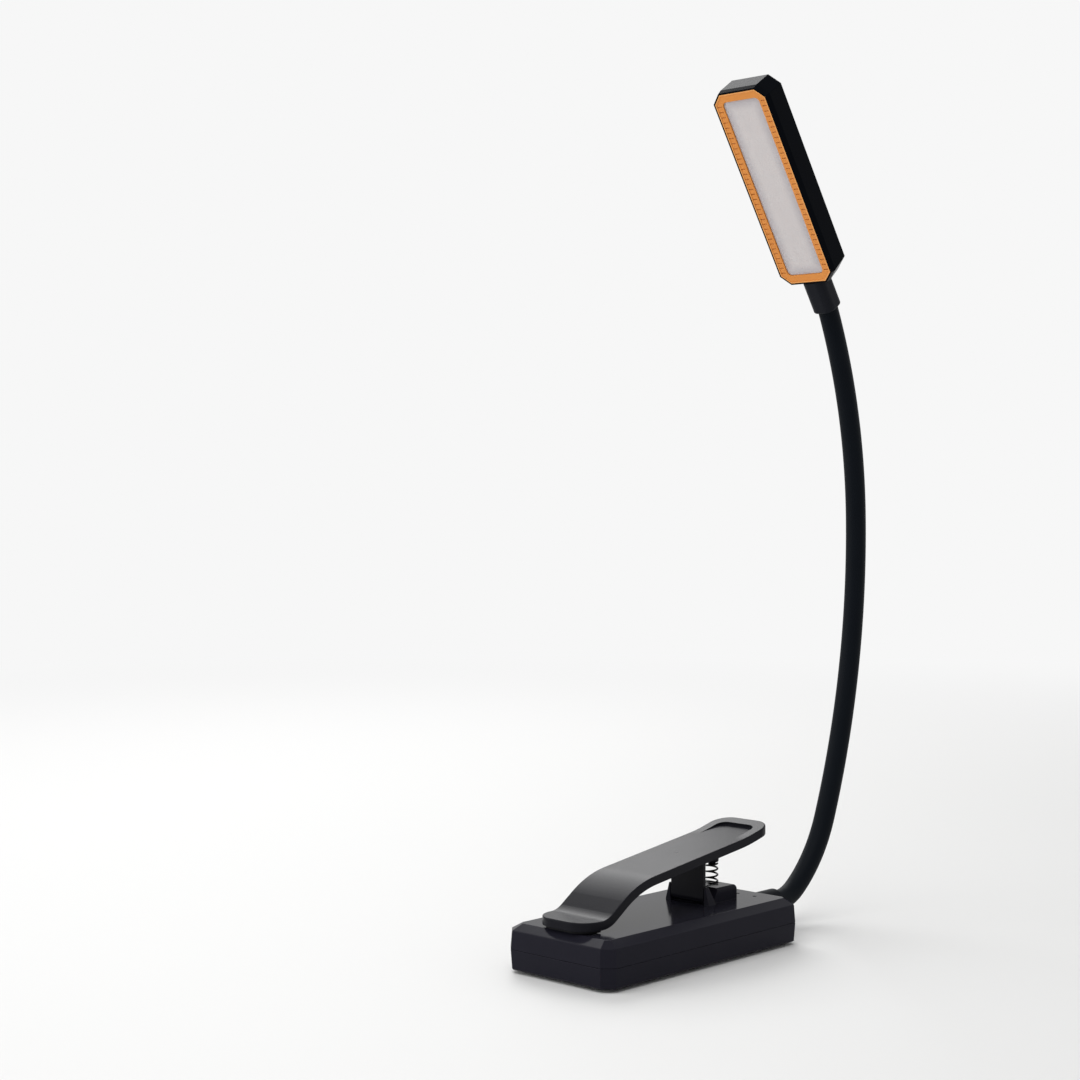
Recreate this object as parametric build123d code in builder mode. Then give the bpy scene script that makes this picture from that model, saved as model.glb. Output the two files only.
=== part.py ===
from build123d import *
import math
import os

os.makedirs("parts", exist_ok=True)

# Clip-on gooseneck lamp, in millimetres.
# The origin is the centre of the foot's underside. +X runs from the lever's toe to the gooseneck, +Z is up.
# The lamp is symmetric about the XZ plane, apart from the charging socket, the pin holes and the boards.

# Base box
base_length = 90.8
base_width = 42.0
corner_cut = 3.4
wall_draft = 0.42
foot_bevel_height = 0.4
foot_bevel_inset = 0.4
lower_wall_height = 5.7
upper_wall_height = 5.5
top_bevel_height = 1.9
top_bevel_inset = 3.2
side_wall = 1.5
floor_wall = 1.2
roof_wall = 1.5
roof_inset = 2.5
room_shoulder_drop = 0.9
edge_radius = 0.3
seam_chamfer = 0.15
lip_height = 0.8
lip_thickness = 0.7
lip_gap = 0.1

# Foot pad
foot_pad_thickness = 1.0
foot_pad_inset = 4.3
foot_pad_chamfer = 0.2

# Base screws and their posts
screw_inset_x = 6.6
screw_inset_y = 6.4
screw_shank_radius = 1.0
screw_head_radius = 1.8
screw_head_height = 1.0
screw_length = 6.5
screw_recess = 0.3
screw_clearance = 0.15
thread_clearance = 0.02
post_wall = 1.1
post_gap = 0.2
screw_boss_height = 1.6
screw_slot_length = 2.2
screw_slot_width = 0.4
screw_slot_depth = 0.6

# Battery, which fills the room between the front screw bosses and the board
battery_boss_gap = 0.75
battery_board_gap = 2.5
battery_width = 27.0
battery_height = 5.2
battery_corner = 1.55
battery_tape_thickness = 0.3
battery_tape_margin = 3.0

# Main board and its parts
board_length = 21.8
board_rear_inset = 8.1
board_near_inset = 5.0
board_thickness = 1.0
board_rib_height = 1.2
board_rib_size = 2.4
chip_height = 1.2
large_chip_length = 4.9
large_chip_width = 3.9
small_chip_length = 3.0
small_chip_width = 2.4
plug_length = 3.2
plug_width = 4.6
coil_radius = 2.4
coil_height = 2.6

# Charging socket in the far side wall
socket_rear_inset = 17.4
socket_width = 8.9
socket_height = 3.2
socket_depth = 7.3
socket_wall = 0.35
socket_back_wall = 1.0
socket_corner_flat = 0.02
socket_recess = 0.25
socket_clearance = 0.3
socket_tongue_thickness = 0.7
socket_tongue_margin = 1.1
socket_tongue_recess = 1.0

# Indicator holes and light pipes
indicator_rear_inset = 9.0
indicator_near_y = -9.3
indicator_far_y = -2.7
indicator_hole_radius = 0.6
light_pipe_clearance = 0.05
light_pipe_gap = 0.2
light_pipe_recess = 0.35
light_pipe_flange = 0.5
indicator_led_size = 1.2
indicator_led_height = 0.8

# Hinge of the lever, between two ears that taper upwards
pivot_x = 16.4
pivot_rise = 2.1
pin_radius = 0.8
pin_clearance = 0.05
pin_seat_clearance = 0.01
pin_chamfer = 0.12
pin_end_cover = 0.5
knuckle_radius = 1.95
knuckle_width = 12.8
ear_rise = 5.4
ear_gap = 0.3
ear_foot_length = 3.6
ear_top_length = 1.6
ear_foot_thickness = 1.9
ear_top_thickness = 0.5
ear_edge_radius = 0.2

# Spring block on the roof
block_height = 4.5
block_width = 14.6
block_foot_gap = 1.8
block_top_gap = 4.2
block_rear_length = 3.8
block_edge_radius = 1.6
block_side_radius = 0.8

# Spring
spring_arm = 10.3
spring_mean_radius = 1.75
spring_wire_radius = 0.22
spring_turns = 3.5
spring_seat_depth = 1.4
spring_seat_clearance = 0.25
spring_foot_gap = 0.05
spring_head_gap = 0.2

# Lever
lever_width = 20.8
lever_thickness = 2.6
toe_gap = 1.0
toe_tip_x = -43.7
toe_bend_x = -33.6
arch_x = -20.4
arch_rise = 8.75
thumb_bend_x = 31.4
back_rise = 6.9
thumb_tip_x = 44.5
thumb_rise = 3.2
toe_bend_radius = 8.0
arch_radius = 34.0
thumb_bend_radius = 60.0
toe_corner_radius = 7.0
thumb_corner_radius = 6.0
lever_overrun = 1.0
lever_edge_radius = 0.4
hinge_plate_thickness = 1.2
plate_fillet = 0.9
recess_front = 4.5
recess_rear = 4.0
recess_side = 3.4
recess_corner = 3.0
spring_boss_radius = 2.1
spring_boss_drop = 5.0
spring_boss_edge = 0.5
spring_peg_radius = 1.2
spring_peg_length = 0.9

# Rubber pad under the toe
jaw_pad_thickness = 0.75
jaw_pad_length = 6.8
jaw_pad_margin = 1.0

# Gooseneck path: a straight root, then tangent arcs given as radius and turn in degrees
root_height = 8.2
root_collar_length = 13.6
root_joint_gap = 0.5
root_straight = 1.4
rise_radius = 15.6
rise_turn = 36.0
curve_radius = 47.9
curve_turn = 32.6
stem_radius = 256.0
stem_turn = 23.0
top_radius = 172.5
top_turn = 23.8
link_count = 8

# Gooseneck section
sleeve_radius = 3.38
sleeve_wall = 0.76
core_radius = 2.5
core_tube_radius = 2.3
core_bore_radius = 1.2
ball_radius = 1.9
ball_clearance = 0.08
ball_neck_radius = 1.5
ball_neck_length = 1.9
ball_neck_overlap = 0.3
socket_rim = 0.68
socket_reach = 2.7
socket_overlap = 0.4
sleeve_joint_gap = 0.6
lead_radius = 0.38
lead_spacing = 0.9
lead_joint_gap = 0.35
lead_solder_gap = 0.1

# Root collar and its fixing in the rear wall
root_collar_radius = 4.2
root_mouth_radius = 3.75
root_mouth_depth = 2.4
root_mouth_edge = 0.36
root_spigot_radius = 3.05
root_hole_clearance = 0.1
root_nut_radius = 4.0
root_nut_thickness = 1.3
root_nut_gap = 0.02
root_nut_clearance = 0.03
root_spigot_overrun = 0.2
root_collar_gap = 0.15
ferrule_inside_length = 4.6
ferrule_clearance = 0.06
lead_drop_radius = 2.2
lead_drop_inset = 7.5

# Head
head_tilt = 34.2
head_reach = 12.85
ring_length = 68.4
ring_width = 19.7
ring_cut = 3.0
rim_front = 0.55
rim_back_of_bevel = 0.88
rim_rear = 0.9
head_bevel_depth = 1.9
head_depth = 9.1
head_foot_cut = 1.2
head_wall = 1.2
head_edge_radius = 0.25
head_rim_radius = 0.08
head_piece_gap = 0.25

# Amber ring
ring_band = 2.7
ring_thickness = 1.8
ring_gap = 0.05
window_corner_radius = 1.7
ring_lip_width = 0.4
ring_lip_depth = 0.15
tick_count = 34
tick_length = 1.7
tick_width = 0.3
tick_depth = 0.2
tick_span = 60.4

# Diffuser, light frame, board and chips
window_recess = 0.6
diffuser_flange = 0.8
diffuser_gap = 0.08
light_frame_depth = 1.4
light_frame_wall = 1.3
led_board_thickness = 0.8
led_size = 2.2
led_thickness = 0.6
led_columns = 9
led_rows = 2
led_pitch_x = 6.4
led_pitch_y = 6.0

# Button and switch on the back of the head
button_u = -16.0
button_radius = 3.6
button_clearance = 0.15
button_proud = 0.35
button_edge_radius = 0.3
button_flange_radius = 4.4
button_flange_thickness = 0.5
button_flange_gap = 0.05
button_travel = 0.5
button_stop_gap = 0.15
plunger_radius = 0.9
plunger_clearance = 0.08
switch_size = 5.0
switch_height = 1.3
plunger_reach = 0.3

# Head collar
head_collar_size = 8.2
head_collar_corner = 2.8
head_collar_start = 0.3
head_collar_mouth_radius = 3.5
head_collar_mouth_depth = 1.4
head_collar_edge = 0.55
head_collar_gap = 0.02
head_spigot_radius = 3.1
head_spigot_clearance = 0.1
head_spigot_end_gap = 0.05
lead_notch_width = 3.0
lead_notch_length = 2.4

# How far cutting shapes go beyond what they cut, and how near an edge lies to the place it is picked by
cut_margin = 2.0
pick_margin = 0.01

# Heights and places that follow from the sizes above
floor_z = foot_pad_thickness
wall_foot_z = floor_z + foot_bevel_height
seam_z = wall_foot_z + lower_wall_height
wall_top_z = seam_z + upper_wall_height
roof_z = wall_top_z + top_bevel_height
ceiling_z = roof_z - roof_wall
inner_floor_z = floor_z + floor_wall
rear_x = base_length / 2
board_z = inner_floor_z + board_rib_height
board_top_z = board_z + board_thickness
pivot_z = roof_z + pivot_rise
knuckle_half = knuckle_width / 2
ear_inner_y = knuckle_half + ear_gap
ear_outer_y = ear_inner_y + ear_foot_thickness
pin_half = ear_inner_y + (ear_foot_thickness + ear_top_thickness) / 2 - pin_end_cover
spring_x = pivot_x + spring_arm
block_rear_x = spring_x + block_rear_length
block_top_z = roof_z + block_height
spring_foot_z = block_top_z - spring_seat_depth
toe_top_z = roof_z + toe_gap + lever_thickness
arch_z = toe_top_z + arch_rise
thumb_bend_z = arch_z + back_rise
thumb_tip_z = thumb_bend_z + thumb_rise
back_slope = back_rise / (thumb_bend_x - arch_x)
lever_half = lever_width / 2


def octagon(length, width, cut):
    """Returns the corners of a rectangle with its four corners cut at 45 degrees."""
    a = length / 2
    b = width / 2
    return [
        (-a, -b + cut), (-a + cut, -b), (a - cut, -b), (a, -b + cut),
        (a, b - cut), (a - cut, b), (-a + cut, b), (-a, b - cut),
    ]


def octagon_inset(length, width, cut, inset):
    """Returns the corners of the same octagon with each side moved inwards by one distance."""
    cut_inset = cut - (2 - math.sqrt(2)) * inset
    return octagon(length - 2 * inset, width - 2 * inset, cut_inset)


def base_outline(inset):
    """Returns the plan outline of the base, moved inwards by the inset."""
    return octagon_inset(base_length, base_width, corner_cut, inset)


def base_loft(levels):
    """Lofts the base's outline through levels, each a pair of height and inset."""
    sections = []
    for height, inset in levels:
        with BuildSketch(Plane.XY.offset(height)) as level:
            Polygon(*base_outline(inset), align=None)
        sections.append(level.sketch)
    loft(sections, ruled=True)


def round_cut(plane, radius, length, places=((0, 0),)):
    """Cuts round holes into the part being built, from a plane and along its normal."""
    with BuildSketch(plane) as hole:
        with Locations(*places):
            Circle(radius)
    extrude(hole.sketch, amount=length, mode=Mode.SUBTRACT)


# Places of the four base screws
screw_x = rear_x - screw_inset_x
screw_y = base_width / 2 - screw_inset_y
screw_places = [(sx * screw_x, sy * screw_y) for sx in (-1, 1) for sy in (-1, 1)]
screw_head_z = floor_z + screw_recess
screw_seat_z = screw_head_z + screw_head_height
boss_top_z = inner_floor_z + screw_boss_height
post_radius = screw_shank_radius + post_wall
boss_radius = screw_head_radius + screw_clearance + post_wall

# Indicator holes and charging socket
indicator_x = rear_x - indicator_rear_inset
indicator_places = [(indicator_x, indicator_near_y), (indicator_x, indicator_far_y)]
socket_x = rear_x - socket_rear_inset
socket_mouth_y = base_width / 2 - socket_recess - wall_draft
socket_z = board_top_z + socket_height / 2


def socket_cut():
    """Cuts the socket's opening through the far side wall of the part being built."""
    outside = (socket_x, base_width / 2 + cut_margin, socket_z)
    opening = Plane(origin=outside, x_dir=(1, 0, 0), z_dir=(0, -1, 0))
    with BuildSketch(opening) as mouth:
        RectangleRounded(
            socket_width + 2 * socket_clearance,
            socket_height + 2 * socket_clearance,
            socket_height / 2 + socket_clearance - socket_corner_flat,
        )
    extrude(mouth.sketch, amount=side_wall + wall_draft + 2 * cut_margin, mode=Mode.SUBTRACT)


def root_cut():
    """Cuts the root collar's round hole through the rear wall of the part being built."""
    inside = Plane.YZ.offset(rear_x - side_wall - cut_margin)
    radius = root_spigot_radius + root_hole_clearance
    round_cut(inside, radius, side_wall + 2 * cut_margin, [(0, root_height)])


# Places of the board and the battery
board_rear_x = rear_x - board_rear_inset
board_front_x = board_rear_x - board_length
board_x = (board_front_x + board_rear_x) / 2
board_near_y = board_near_inset - base_width / 2
board_far_y = socket_mouth_y - socket_depth / 4
battery_front_x = battery_boss_gap + boss_radius - screw_x
battery_length = board_front_x - battery_board_gap - battery_front_x
battery_x = battery_front_x + battery_length / 2

# Lower shell of the base, with a lip around its rim
with BuildPart() as lower_room:
    base_loft([(inner_floor_z, wall_draft + side_wall), (seam_z + lip_height, side_wall)])

with BuildPart() as base_lower_shell:
    base_loft([
        (floor_z, wall_draft + foot_bevel_inset),
        (wall_foot_z, wall_draft),
        (seam_z - seam_chamfer, 0),
        (seam_z, seam_chamfer),
    ])
    with BuildSketch(Plane.XY.offset(seam_z)):
        Polygon(*base_outline(side_wall - lip_thickness), align=None)
    extrude(amount=lip_height)
    add(lower_room.part, mode=Mode.SUBTRACT)
    with BuildSketch(Plane.XY.offset(inner_floor_z)):
        with Locations(*screw_places):
            Circle(boss_radius)
    extrude(amount=screw_boss_height)
    with BuildSketch(Plane.XY.offset(inner_floor_z)):
        for rib_x in (board_front_x + board_rib_size, board_rear_x - board_rib_size):
            with Locations((rib_x, -board_rib_size * 2), (rib_x, board_rib_size * 2)):
                Rectangle(board_rib_size, board_rib_size)
    extrude(amount=board_rib_height)
    underside = Plane.XY.offset(floor_z)
    round_cut(underside, screw_head_radius + screw_clearance, screw_seat_z - floor_z, screw_places)
    round_cut(underside, screw_shank_radius + screw_clearance, boss_top_z - floor_z, screw_places)
    socket_cut()
    root_cut()
base_lower_shell.part.label = "base_lower_shell"
export_step(base_lower_shell.part, "parts/base_lower_shell.step")

# Upper shell of the base, with the hinge ears and the spring block
with BuildPart() as upper_room:
    base_loft([
        (seam_z, side_wall),
        (wall_top_z - room_shoulder_drop, side_wall + wall_draft),
        (ceiling_z, side_wall + roof_inset),
    ])



def hinge_ear(side):
    """Returns one of the two ears of the hinge, which taper upwards from the roof."""
    front = pivot_x - knuckle_radius
    sections = []
    for height, length, thickness in (
        (roof_z - roof_wall / 2, ear_foot_length, ear_foot_thickness),
        (roof_z, ear_foot_length, ear_foot_thickness),
        (roof_z + ear_rise, ear_top_length, ear_top_thickness),
    ):
        with BuildSketch(Plane.XY.offset(height)) as level:
            with Locations((front + length / 2, side * (ear_inner_y + thickness / 2))):
                Rectangle(length, thickness)
        sections.append(level.sketch)
    with BuildPart() as ear:
        loft(sections, ruled=True)
        top_face = ear.faces().sort_by(Axis.Z)[-1]
        fillet(top_face.edges().filter_by(Axis.Y), ear_edge_radius)
    return ear.part


with BuildPart() as base_upper_shell:
    base_loft([
        (seam_z, seam_chamfer),
        (seam_z + seam_chamfer, 0),
        (wall_top_z, wall_draft),
        (roof_z, wall_draft + top_bevel_inset),
    ])
    bevel_edges = base_upper_shell.edges().filter_by_position(Axis.Z, wall_top_z - pick_margin, roof_z + pick_margin)
    fillet(bevel_edges, edge_radius)
    add(upper_room.part, mode=Mode.SUBTRACT)
    with BuildSketch(Plane.XY.offset(seam_z)):
        Polygon(*base_outline(side_wall - lip_thickness - lip_gap), align=None)
        Polygon(*base_outline(side_wall + 0.5), align=None, mode=Mode.SUBTRACT)
    extrude(amount=lip_height + lip_gap, mode=Mode.SUBTRACT)
    with BuildSketch(Plane.XY.offset(boss_top_z + post_gap)):
        with Locations(*screw_places):
            Circle(post_radius)
    extrude(amount=ceiling_z - boss_top_z - post_gap)
    post_foot = Plane.XY.offset(boss_top_z + post_gap)
    round_cut(post_foot, screw_shank_radius + thread_clearance, screw_length, screw_places)
    with BuildSketch(Plane.XZ) as block_side:
        with BuildLine():
            Polyline(
                (pivot_x + block_foot_gap, roof_z - roof_wall / 2),
                (pivot_x + block_foot_gap, roof_z),
                (pivot_x + block_top_gap, block_top_z),
                (block_rear_x, block_top_z),
                (block_rear_x, roof_z - roof_wall / 2),
                close=True,
            )
        make_face()
        rear_corner = block_side.vertices().group_by(Axis.Y)[-1].sort_by(Axis.X)[-1]
        fillet(rear_corner, block_edge_radius)
    extrude(amount=block_width / 2, both=True)
    block_posts = base_upper_shell.edges().filter_by(Axis.Z).filter_by_position(
        Axis.X, block_rear_x - pick_margin, block_rear_x + pick_margin
    )
    fillet(block_posts, block_side_radius)
    for side in (-1, 1):
        add(hinge_ear(side))
    far_side = Plane.XZ.offset(-ear_outer_y - cut_margin)
    pin_hole_length = ear_outer_y + cut_margin + pin_half
    round_cut(far_side, pin_radius + pin_seat_clearance, pin_hole_length, [(pivot_x, pivot_z)])
    spring_seat_radius = spring_mean_radius + spring_wire_radius + spring_seat_clearance
    round_cut(Plane.XY.offset(block_top_z), spring_seat_radius, -spring_seat_depth, [(spring_x, 0)])
    under_roof = Plane.XY.offset(ceiling_z - cut_margin)
    round_cut(under_roof, indicator_hole_radius, roof_wall + 2 * cut_margin, indicator_places)
    socket_cut()
    root_cut()
base_upper_shell.part.label = "base_upper_shell"
export_step(base_upper_shell.part, "parts/base_upper_shell.step")

# Foot pad
with BuildPart() as foot_pad:
    with BuildSketch():
        Polygon(*base_outline(foot_pad_inset), align=None)
    extrude(amount=foot_pad_thickness)
    foot_edges = foot_pad.edges().group_by(Axis.Z)[0]
    chamfer(foot_edges, foot_pad_chamfer)
foot_pad.part.label = "foot_pad"
export_step(foot_pad.part, "parts/foot_pad.step")

# Base screws, one node with four solids
with BuildPart() as base_screws:
    with BuildSketch(Plane.XY.offset(screw_head_z)):
        with Locations(*screw_places):
            Circle(screw_head_radius)
    extrude(amount=screw_head_height)
    with BuildSketch(Plane.XY.offset(screw_seat_z)):
        with Locations(*screw_places):
            Circle(screw_shank_radius)
    extrude(amount=screw_length)
    with BuildSketch(Plane.XY.offset(screw_head_z)):
        with Locations(*screw_places):
            Rectangle(screw_slot_length, screw_slot_width)
            Rectangle(screw_slot_width, screw_slot_length)
    extrude(amount=screw_slot_depth, mode=Mode.SUBTRACT)
base_screws.part.label = "base_screws"
export_step(base_screws.part, "parts/base_screws.step")

# Battery on its tape
tape_top_z = inner_floor_z + battery_tape_thickness
with BuildPart() as battery_tape:
    with BuildSketch(Plane.XY.offset(inner_floor_z)):
        with Locations((battery_x, 0)):
            Rectangle(battery_length - 2 * battery_tape_margin, battery_width - 2 * battery_tape_margin)
    extrude(amount=battery_tape_thickness)
battery_tape.part.label = "battery_tape"
export_step(battery_tape.part, "parts/battery_tape.step")

with BuildPart() as battery_cell:
    with BuildSketch(Plane.YZ.offset(battery_front_x)):
        with Locations((0, tape_top_z + battery_height / 2)):
            RectangleRounded(battery_width, battery_height, battery_corner)
    extrude(amount=battery_length)
battery_cell.part.label = "battery_cell"
export_step(battery_cell.part, "parts/battery_cell.step")

# Main board
with BuildPart() as main_board:
    with BuildSketch(Plane.XY.offset(board_z)):
        with Locations((board_x, (board_near_y + board_far_y) / 2)):
            Rectangle(board_length, board_far_y - board_near_y)
        with Locations(*screw_places):
            Circle(boss_radius + 2 * post_gap, mode=Mode.SUBTRACT)
    extrude(amount=board_thickness)
main_board.part.label = "main_board"
export_step(main_board.part, "parts/main_board.step")


def board_place(share_x, share_y):
    """Returns the place at a share of the board's half length and half of the base's width."""
    return (board_x + share_x * board_length / 2, share_y * base_width / 2)


# Parts on the main board, one node with separate solids
with BuildPart() as board_components:
    with BuildSketch(Plane.XY.offset(board_top_z)):
        with Locations(board_place(-0.37, -0.43), board_place(-0.37, 0.19)):
            Rectangle(large_chip_length, large_chip_width)
        with Locations(board_place(0.32, -0.6), board_place(-0.6, 0.57)):
            Rectangle(small_chip_length, small_chip_width)
        with Locations(board_place(-0.78, -0.12)):
            Rectangle(plug_length, plug_width)
    extrude(amount=chip_height)
    with BuildSketch(Plane.XY.offset(board_top_z)):
        with Locations(board_place(0.29, 0.14)):
            Circle(coil_radius)
    extrude(amount=coil_height)
    with BuildSketch(Plane.XY.offset(board_top_z)):
        with Locations(*indicator_places):
            Rectangle(indicator_led_size, indicator_led_size)
    extrude(amount=indicator_led_height)
board_components.part.label = "board_components"
export_step(board_components.part, "parts/board_components.step")

# Charging socket: a rounded metal shell, open towards the far side, with a tongue
with BuildPart() as usb_socket:
    socket_plane = Plane(origin=(socket_x, socket_mouth_y, socket_z), x_dir=(1, 0, 0), z_dir=(0, -1, 0))
    with BuildSketch(socket_plane):
        RectangleRounded(socket_width, socket_height, socket_height / 2 - socket_corner_flat)
    extrude(amount=socket_depth)
    with BuildSketch(socket_plane):
        RectangleRounded(
            socket_width - 2 * socket_wall,
            socket_height - 2 * socket_wall,
            socket_height / 2 - socket_wall - socket_corner_flat,
        )
    extrude(amount=socket_depth - socket_back_wall, mode=Mode.SUBTRACT)
    with BuildSketch(socket_plane.offset(socket_tongue_recess)):
        Rectangle(socket_width - 2 * socket_tongue_margin, socket_tongue_thickness)
    extrude(amount=socket_depth - socket_tongue_recess - socket_back_wall / 2)
usb_socket.part.label = "usb_socket"
export_step(usb_socket.part, "parts/usb_socket.step")

# Light pipes from the indicator lamps up to the pin holes
pipe_foot_z = board_top_z + indicator_led_height + light_pipe_gap
with BuildPart() as indicator_pipes:
    with BuildSketch(Plane.XY.offset(pipe_foot_z)):
        with Locations(*indicator_places):
            Circle(indicator_hole_radius - light_pipe_clearance)
    extrude(amount=roof_z - light_pipe_recess - pipe_foot_z)
    with BuildSketch(Plane.XY.offset(ceiling_z - light_pipe_flange - light_pipe_clearance)):
        with Locations(*indicator_places):
            Circle(indicator_hole_radius + light_pipe_flange)
    extrude(amount=light_pipe_flange)
indicator_pipes.part.label = "indicator_pipes"
export_step(indicator_pipes.part, "parts/indicator_pipes.step")

# Hinge pin
with BuildPart() as hinge_pin:
    with BuildSketch(Plane.XZ.offset(-pin_half)):
        with Locations((pivot_x, pivot_z)):
            Circle(pin_radius)
    extrude(amount=2 * pin_half)
    chamfer(hinge_pin.edges().filter_by(GeomType.CIRCLE), pin_chamfer)
hinge_pin.part.label = "hinge_pin"
export_step(hinge_pin.part, "parts/hinge_pin.step")

# Clip lever: an S-shaped plate with a hinge plate, knuckle and spring boss below
lever_top_at_spring = arch_z + back_slope * (spring_x - arch_x)
lever_under_at_spring = lever_top_at_spring - lever_thickness * math.hypot(1, back_slope)
boss_foot_z = lever_under_at_spring - spring_boss_drop
plate_front_x = pivot_x - knuckle_radius
plate_top_z = arch_z + back_slope * (plate_front_x - arch_x) - lever_thickness / 2
thumb_slope = thumb_rise / (thumb_tip_x - thumb_bend_x)
lever_points = [
    (toe_tip_x - lever_overrun, toe_top_z),
    (toe_bend_x, toe_top_z),
    (arch_x, arch_z),
    (thumb_bend_x, thumb_bend_z),
    (thumb_tip_x + lever_overrun, thumb_tip_z + thumb_slope * lever_overrun),
]


def strip_outline(points, thickness):
    """Returns the closed outline of a strip whose top edge is the given line of points."""
    under = []
    for index, point in enumerate(points):
        before = points[max(index - 1, 0)]
        here = points[index]
        after = points[min(index + 1, len(points) - 1)]
        into = math.atan2(here[1] - before[1], here[0] - before[0]) if index > 0 else None
        out = math.atan2(after[1] - here[1], after[0] - here[0]) if index < len(points) - 1 else None
        into = out if into is None else into
        out = into if out is None else out
        middle = (into + out) / 2
        reach = thickness / math.cos((out - into) / 2)
        under.append((point[0] + reach * math.sin(middle), point[1] - reach * math.cos(middle)))
    return list(points) + under[::-1]


with BuildPart() as clip_lever:
    outline = strip_outline(lever_points, lever_thickness)
    with BuildSketch(Plane.XZ) as lever_side:
        Polygon(*outline, align=None)
        for index, radius in ((1, toe_bend_radius), (2, arch_radius), (3, thumb_bend_radius)):
            top_corner = lever_side.vertices().sort_by_distance(outline[index])[0]
            fillet(top_corner, radius)
            under_corner = lever_side.vertices().sort_by_distance(outline[-1 - index])[0]
            turn = -lever_thickness if index == 2 else lever_thickness
            fillet(under_corner, radius + turn)
    extrude(amount=lever_half, both=True)
    with BuildSketch(Plane.XY.offset(roof_z)) as lever_plan:
        with Locations(((toe_tip_x + thumb_tip_x) / 2, 0)):
            Rectangle(thumb_tip_x - toe_tip_x, lever_width)
        toe_corners = lever_plan.vertices().group_by(Axis.X)[0]
        fillet(toe_corners, toe_corner_radius)
        thumb_corners = lever_plan.vertices().group_by(Axis.X)[-1]
        fillet(thumb_corners, thumb_corner_radius)
    extrude(amount=thumb_tip_z - roof_z + lever_thickness, mode=Mode.INTERSECT)
    upper_faces = clip_lever.faces().filter_by(lambda face: face.normal_at().Z > 0.5)
    upper_edges = [edge for face in upper_faces for edge in face.edges()]
    rim_edges = [edge for edge in upper_edges if sum(edge.is_same(other) for other in upper_edges) == 1]
    fillet(rim_edges, lever_edge_radius)
    with BuildSketch(Plane.XZ):
        with BuildLine():
            Polyline(
                (plate_front_x, pivot_z),
                (plate_front_x, plate_top_z),
                (plate_front_x + hinge_plate_thickness, plate_top_z),
                (plate_front_x + hinge_plate_thickness, pivot_z),
                close=True,
            )
        make_face()
        with Locations((pivot_x, pivot_z)):
            Circle(knuckle_radius)
    extrude(amount=knuckle_half, both=True)
    cross_edges = clip_lever.edges().filter_by(Axis.Y)
    plate_corner = (plate_front_x, 0, plate_top_z - lever_thickness / 2)
    fillet(cross_edges.sort_by_distance(plate_corner)[:2], plate_fillet)
    with BuildSketch(Plane.XY.offset(boss_foot_z)):
        with Locations((spring_x, 0)):
            Circle(spring_boss_radius)
    extrude(amount=spring_boss_drop + lever_thickness / 2)
    boss_rim = clip_lever.edges().filter_by(GeomType.CIRCLE).sort_by_distance((spring_x, 0, boss_foot_z))[0]
    fillet(boss_rim, spring_boss_edge)
    with BuildSketch(Plane.XY.offset(boss_foot_z)):
        with Locations((spring_x, 0)):
            Circle(spring_peg_radius)
    extrude(amount=-spring_peg_length)
    far_end = Plane.XZ.offset(-ear_outer_y)
    round_cut(far_end, pin_radius + pin_clearance, 2 * ear_outer_y, [(pivot_x, pivot_z)])
    back_angle = math.degrees(math.atan(back_slope))
    recess_plane = Plane(
        origin=(thumb_bend_x, 0, thumb_bend_z),
        x_dir=(math.cos(math.radians(back_angle)), 0, math.sin(math.radians(back_angle))),
        z_dir=(-math.sin(math.radians(back_angle)), 0, math.cos(math.radians(back_angle))),
    )
    recess_end = thumb_tip_x - recess_rear - thumb_bend_x
    with BuildSketch(recess_plane) as recess_plan:
        with Locations(((recess_end - recess_front) / 2, 0)):
            Rectangle(recess_end + recess_front, lever_width - 2 * recess_side)
        fillet(recess_plan.vertices(), recess_corner)
    extrude(amount=thumb_rise + lever_thickness, mode=Mode.SUBTRACT)
clip_lever.part.label = "clip_lever"
export_step(clip_lever.part, "parts/clip_lever.step")

# Rubber pad under the toe
with BuildPart() as jaw_pad:
    with BuildSketch(Plane.XY.offset(toe_top_z - lever_thickness - jaw_pad_thickness)) as pad_plan:
        with Locations((toe_tip_x + jaw_pad_margin + jaw_pad_length / 2, 0)):
            Rectangle(jaw_pad_length, lever_width - 2 * jaw_pad_margin)
        fillet(pad_plan.vertices().group_by(Axis.X)[0], toe_corner_radius - jaw_pad_margin)
    extrude(amount=jaw_pad_thickness)
jaw_pad.part.label = "jaw_pad"
export_step(jaw_pad.part, "parts/jaw_pad.step")

# Compression spring between the block's seat and the lever's boss
spring_low_z = spring_foot_z + spring_wire_radius + spring_foot_gap
spring_high_z = boss_foot_z - spring_wire_radius - spring_head_gap
with BuildPart() as clip_spring:
    spring_pitch = (spring_high_z - spring_low_z) / spring_turns
    with BuildLine() as spring_line:
        Helix(
            pitch=spring_pitch,
            height=spring_high_z - spring_low_z,
            radius=spring_mean_radius,
            center=(spring_x, 0, spring_low_z),
        )
    with BuildSketch(Plane(origin=spring_line.line @ 0, z_dir=spring_line.line % 0)):
        Circle(spring_wire_radius)
    sweep(is_frenet=True)
clip_spring.part.label = "clip_spring"
export_step(clip_spring.part, "parts/clip_spring.step")


# Gooseneck path
def heading_vector(heading):
    """Returns the unit vector of a heading in the XZ plane, measured from +X towards +Z."""
    return (math.cos(heading), 0, math.sin(heading))


neck_start_x = rear_x + root_collar_length + root_joint_gap
neck_arcs = [
    (rise_radius, rise_turn),
    (curve_radius, curve_turn),
    (stem_radius, stem_turn),
    (top_radius, top_turn),
]
neck_pieces = [(None, root_straight)] + [(radius, radius * math.radians(turn)) for radius, turn in neck_arcs]
neck_length = sum(length for _, length in neck_pieces)
neck_pieces.append((None, head_reach))


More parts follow.
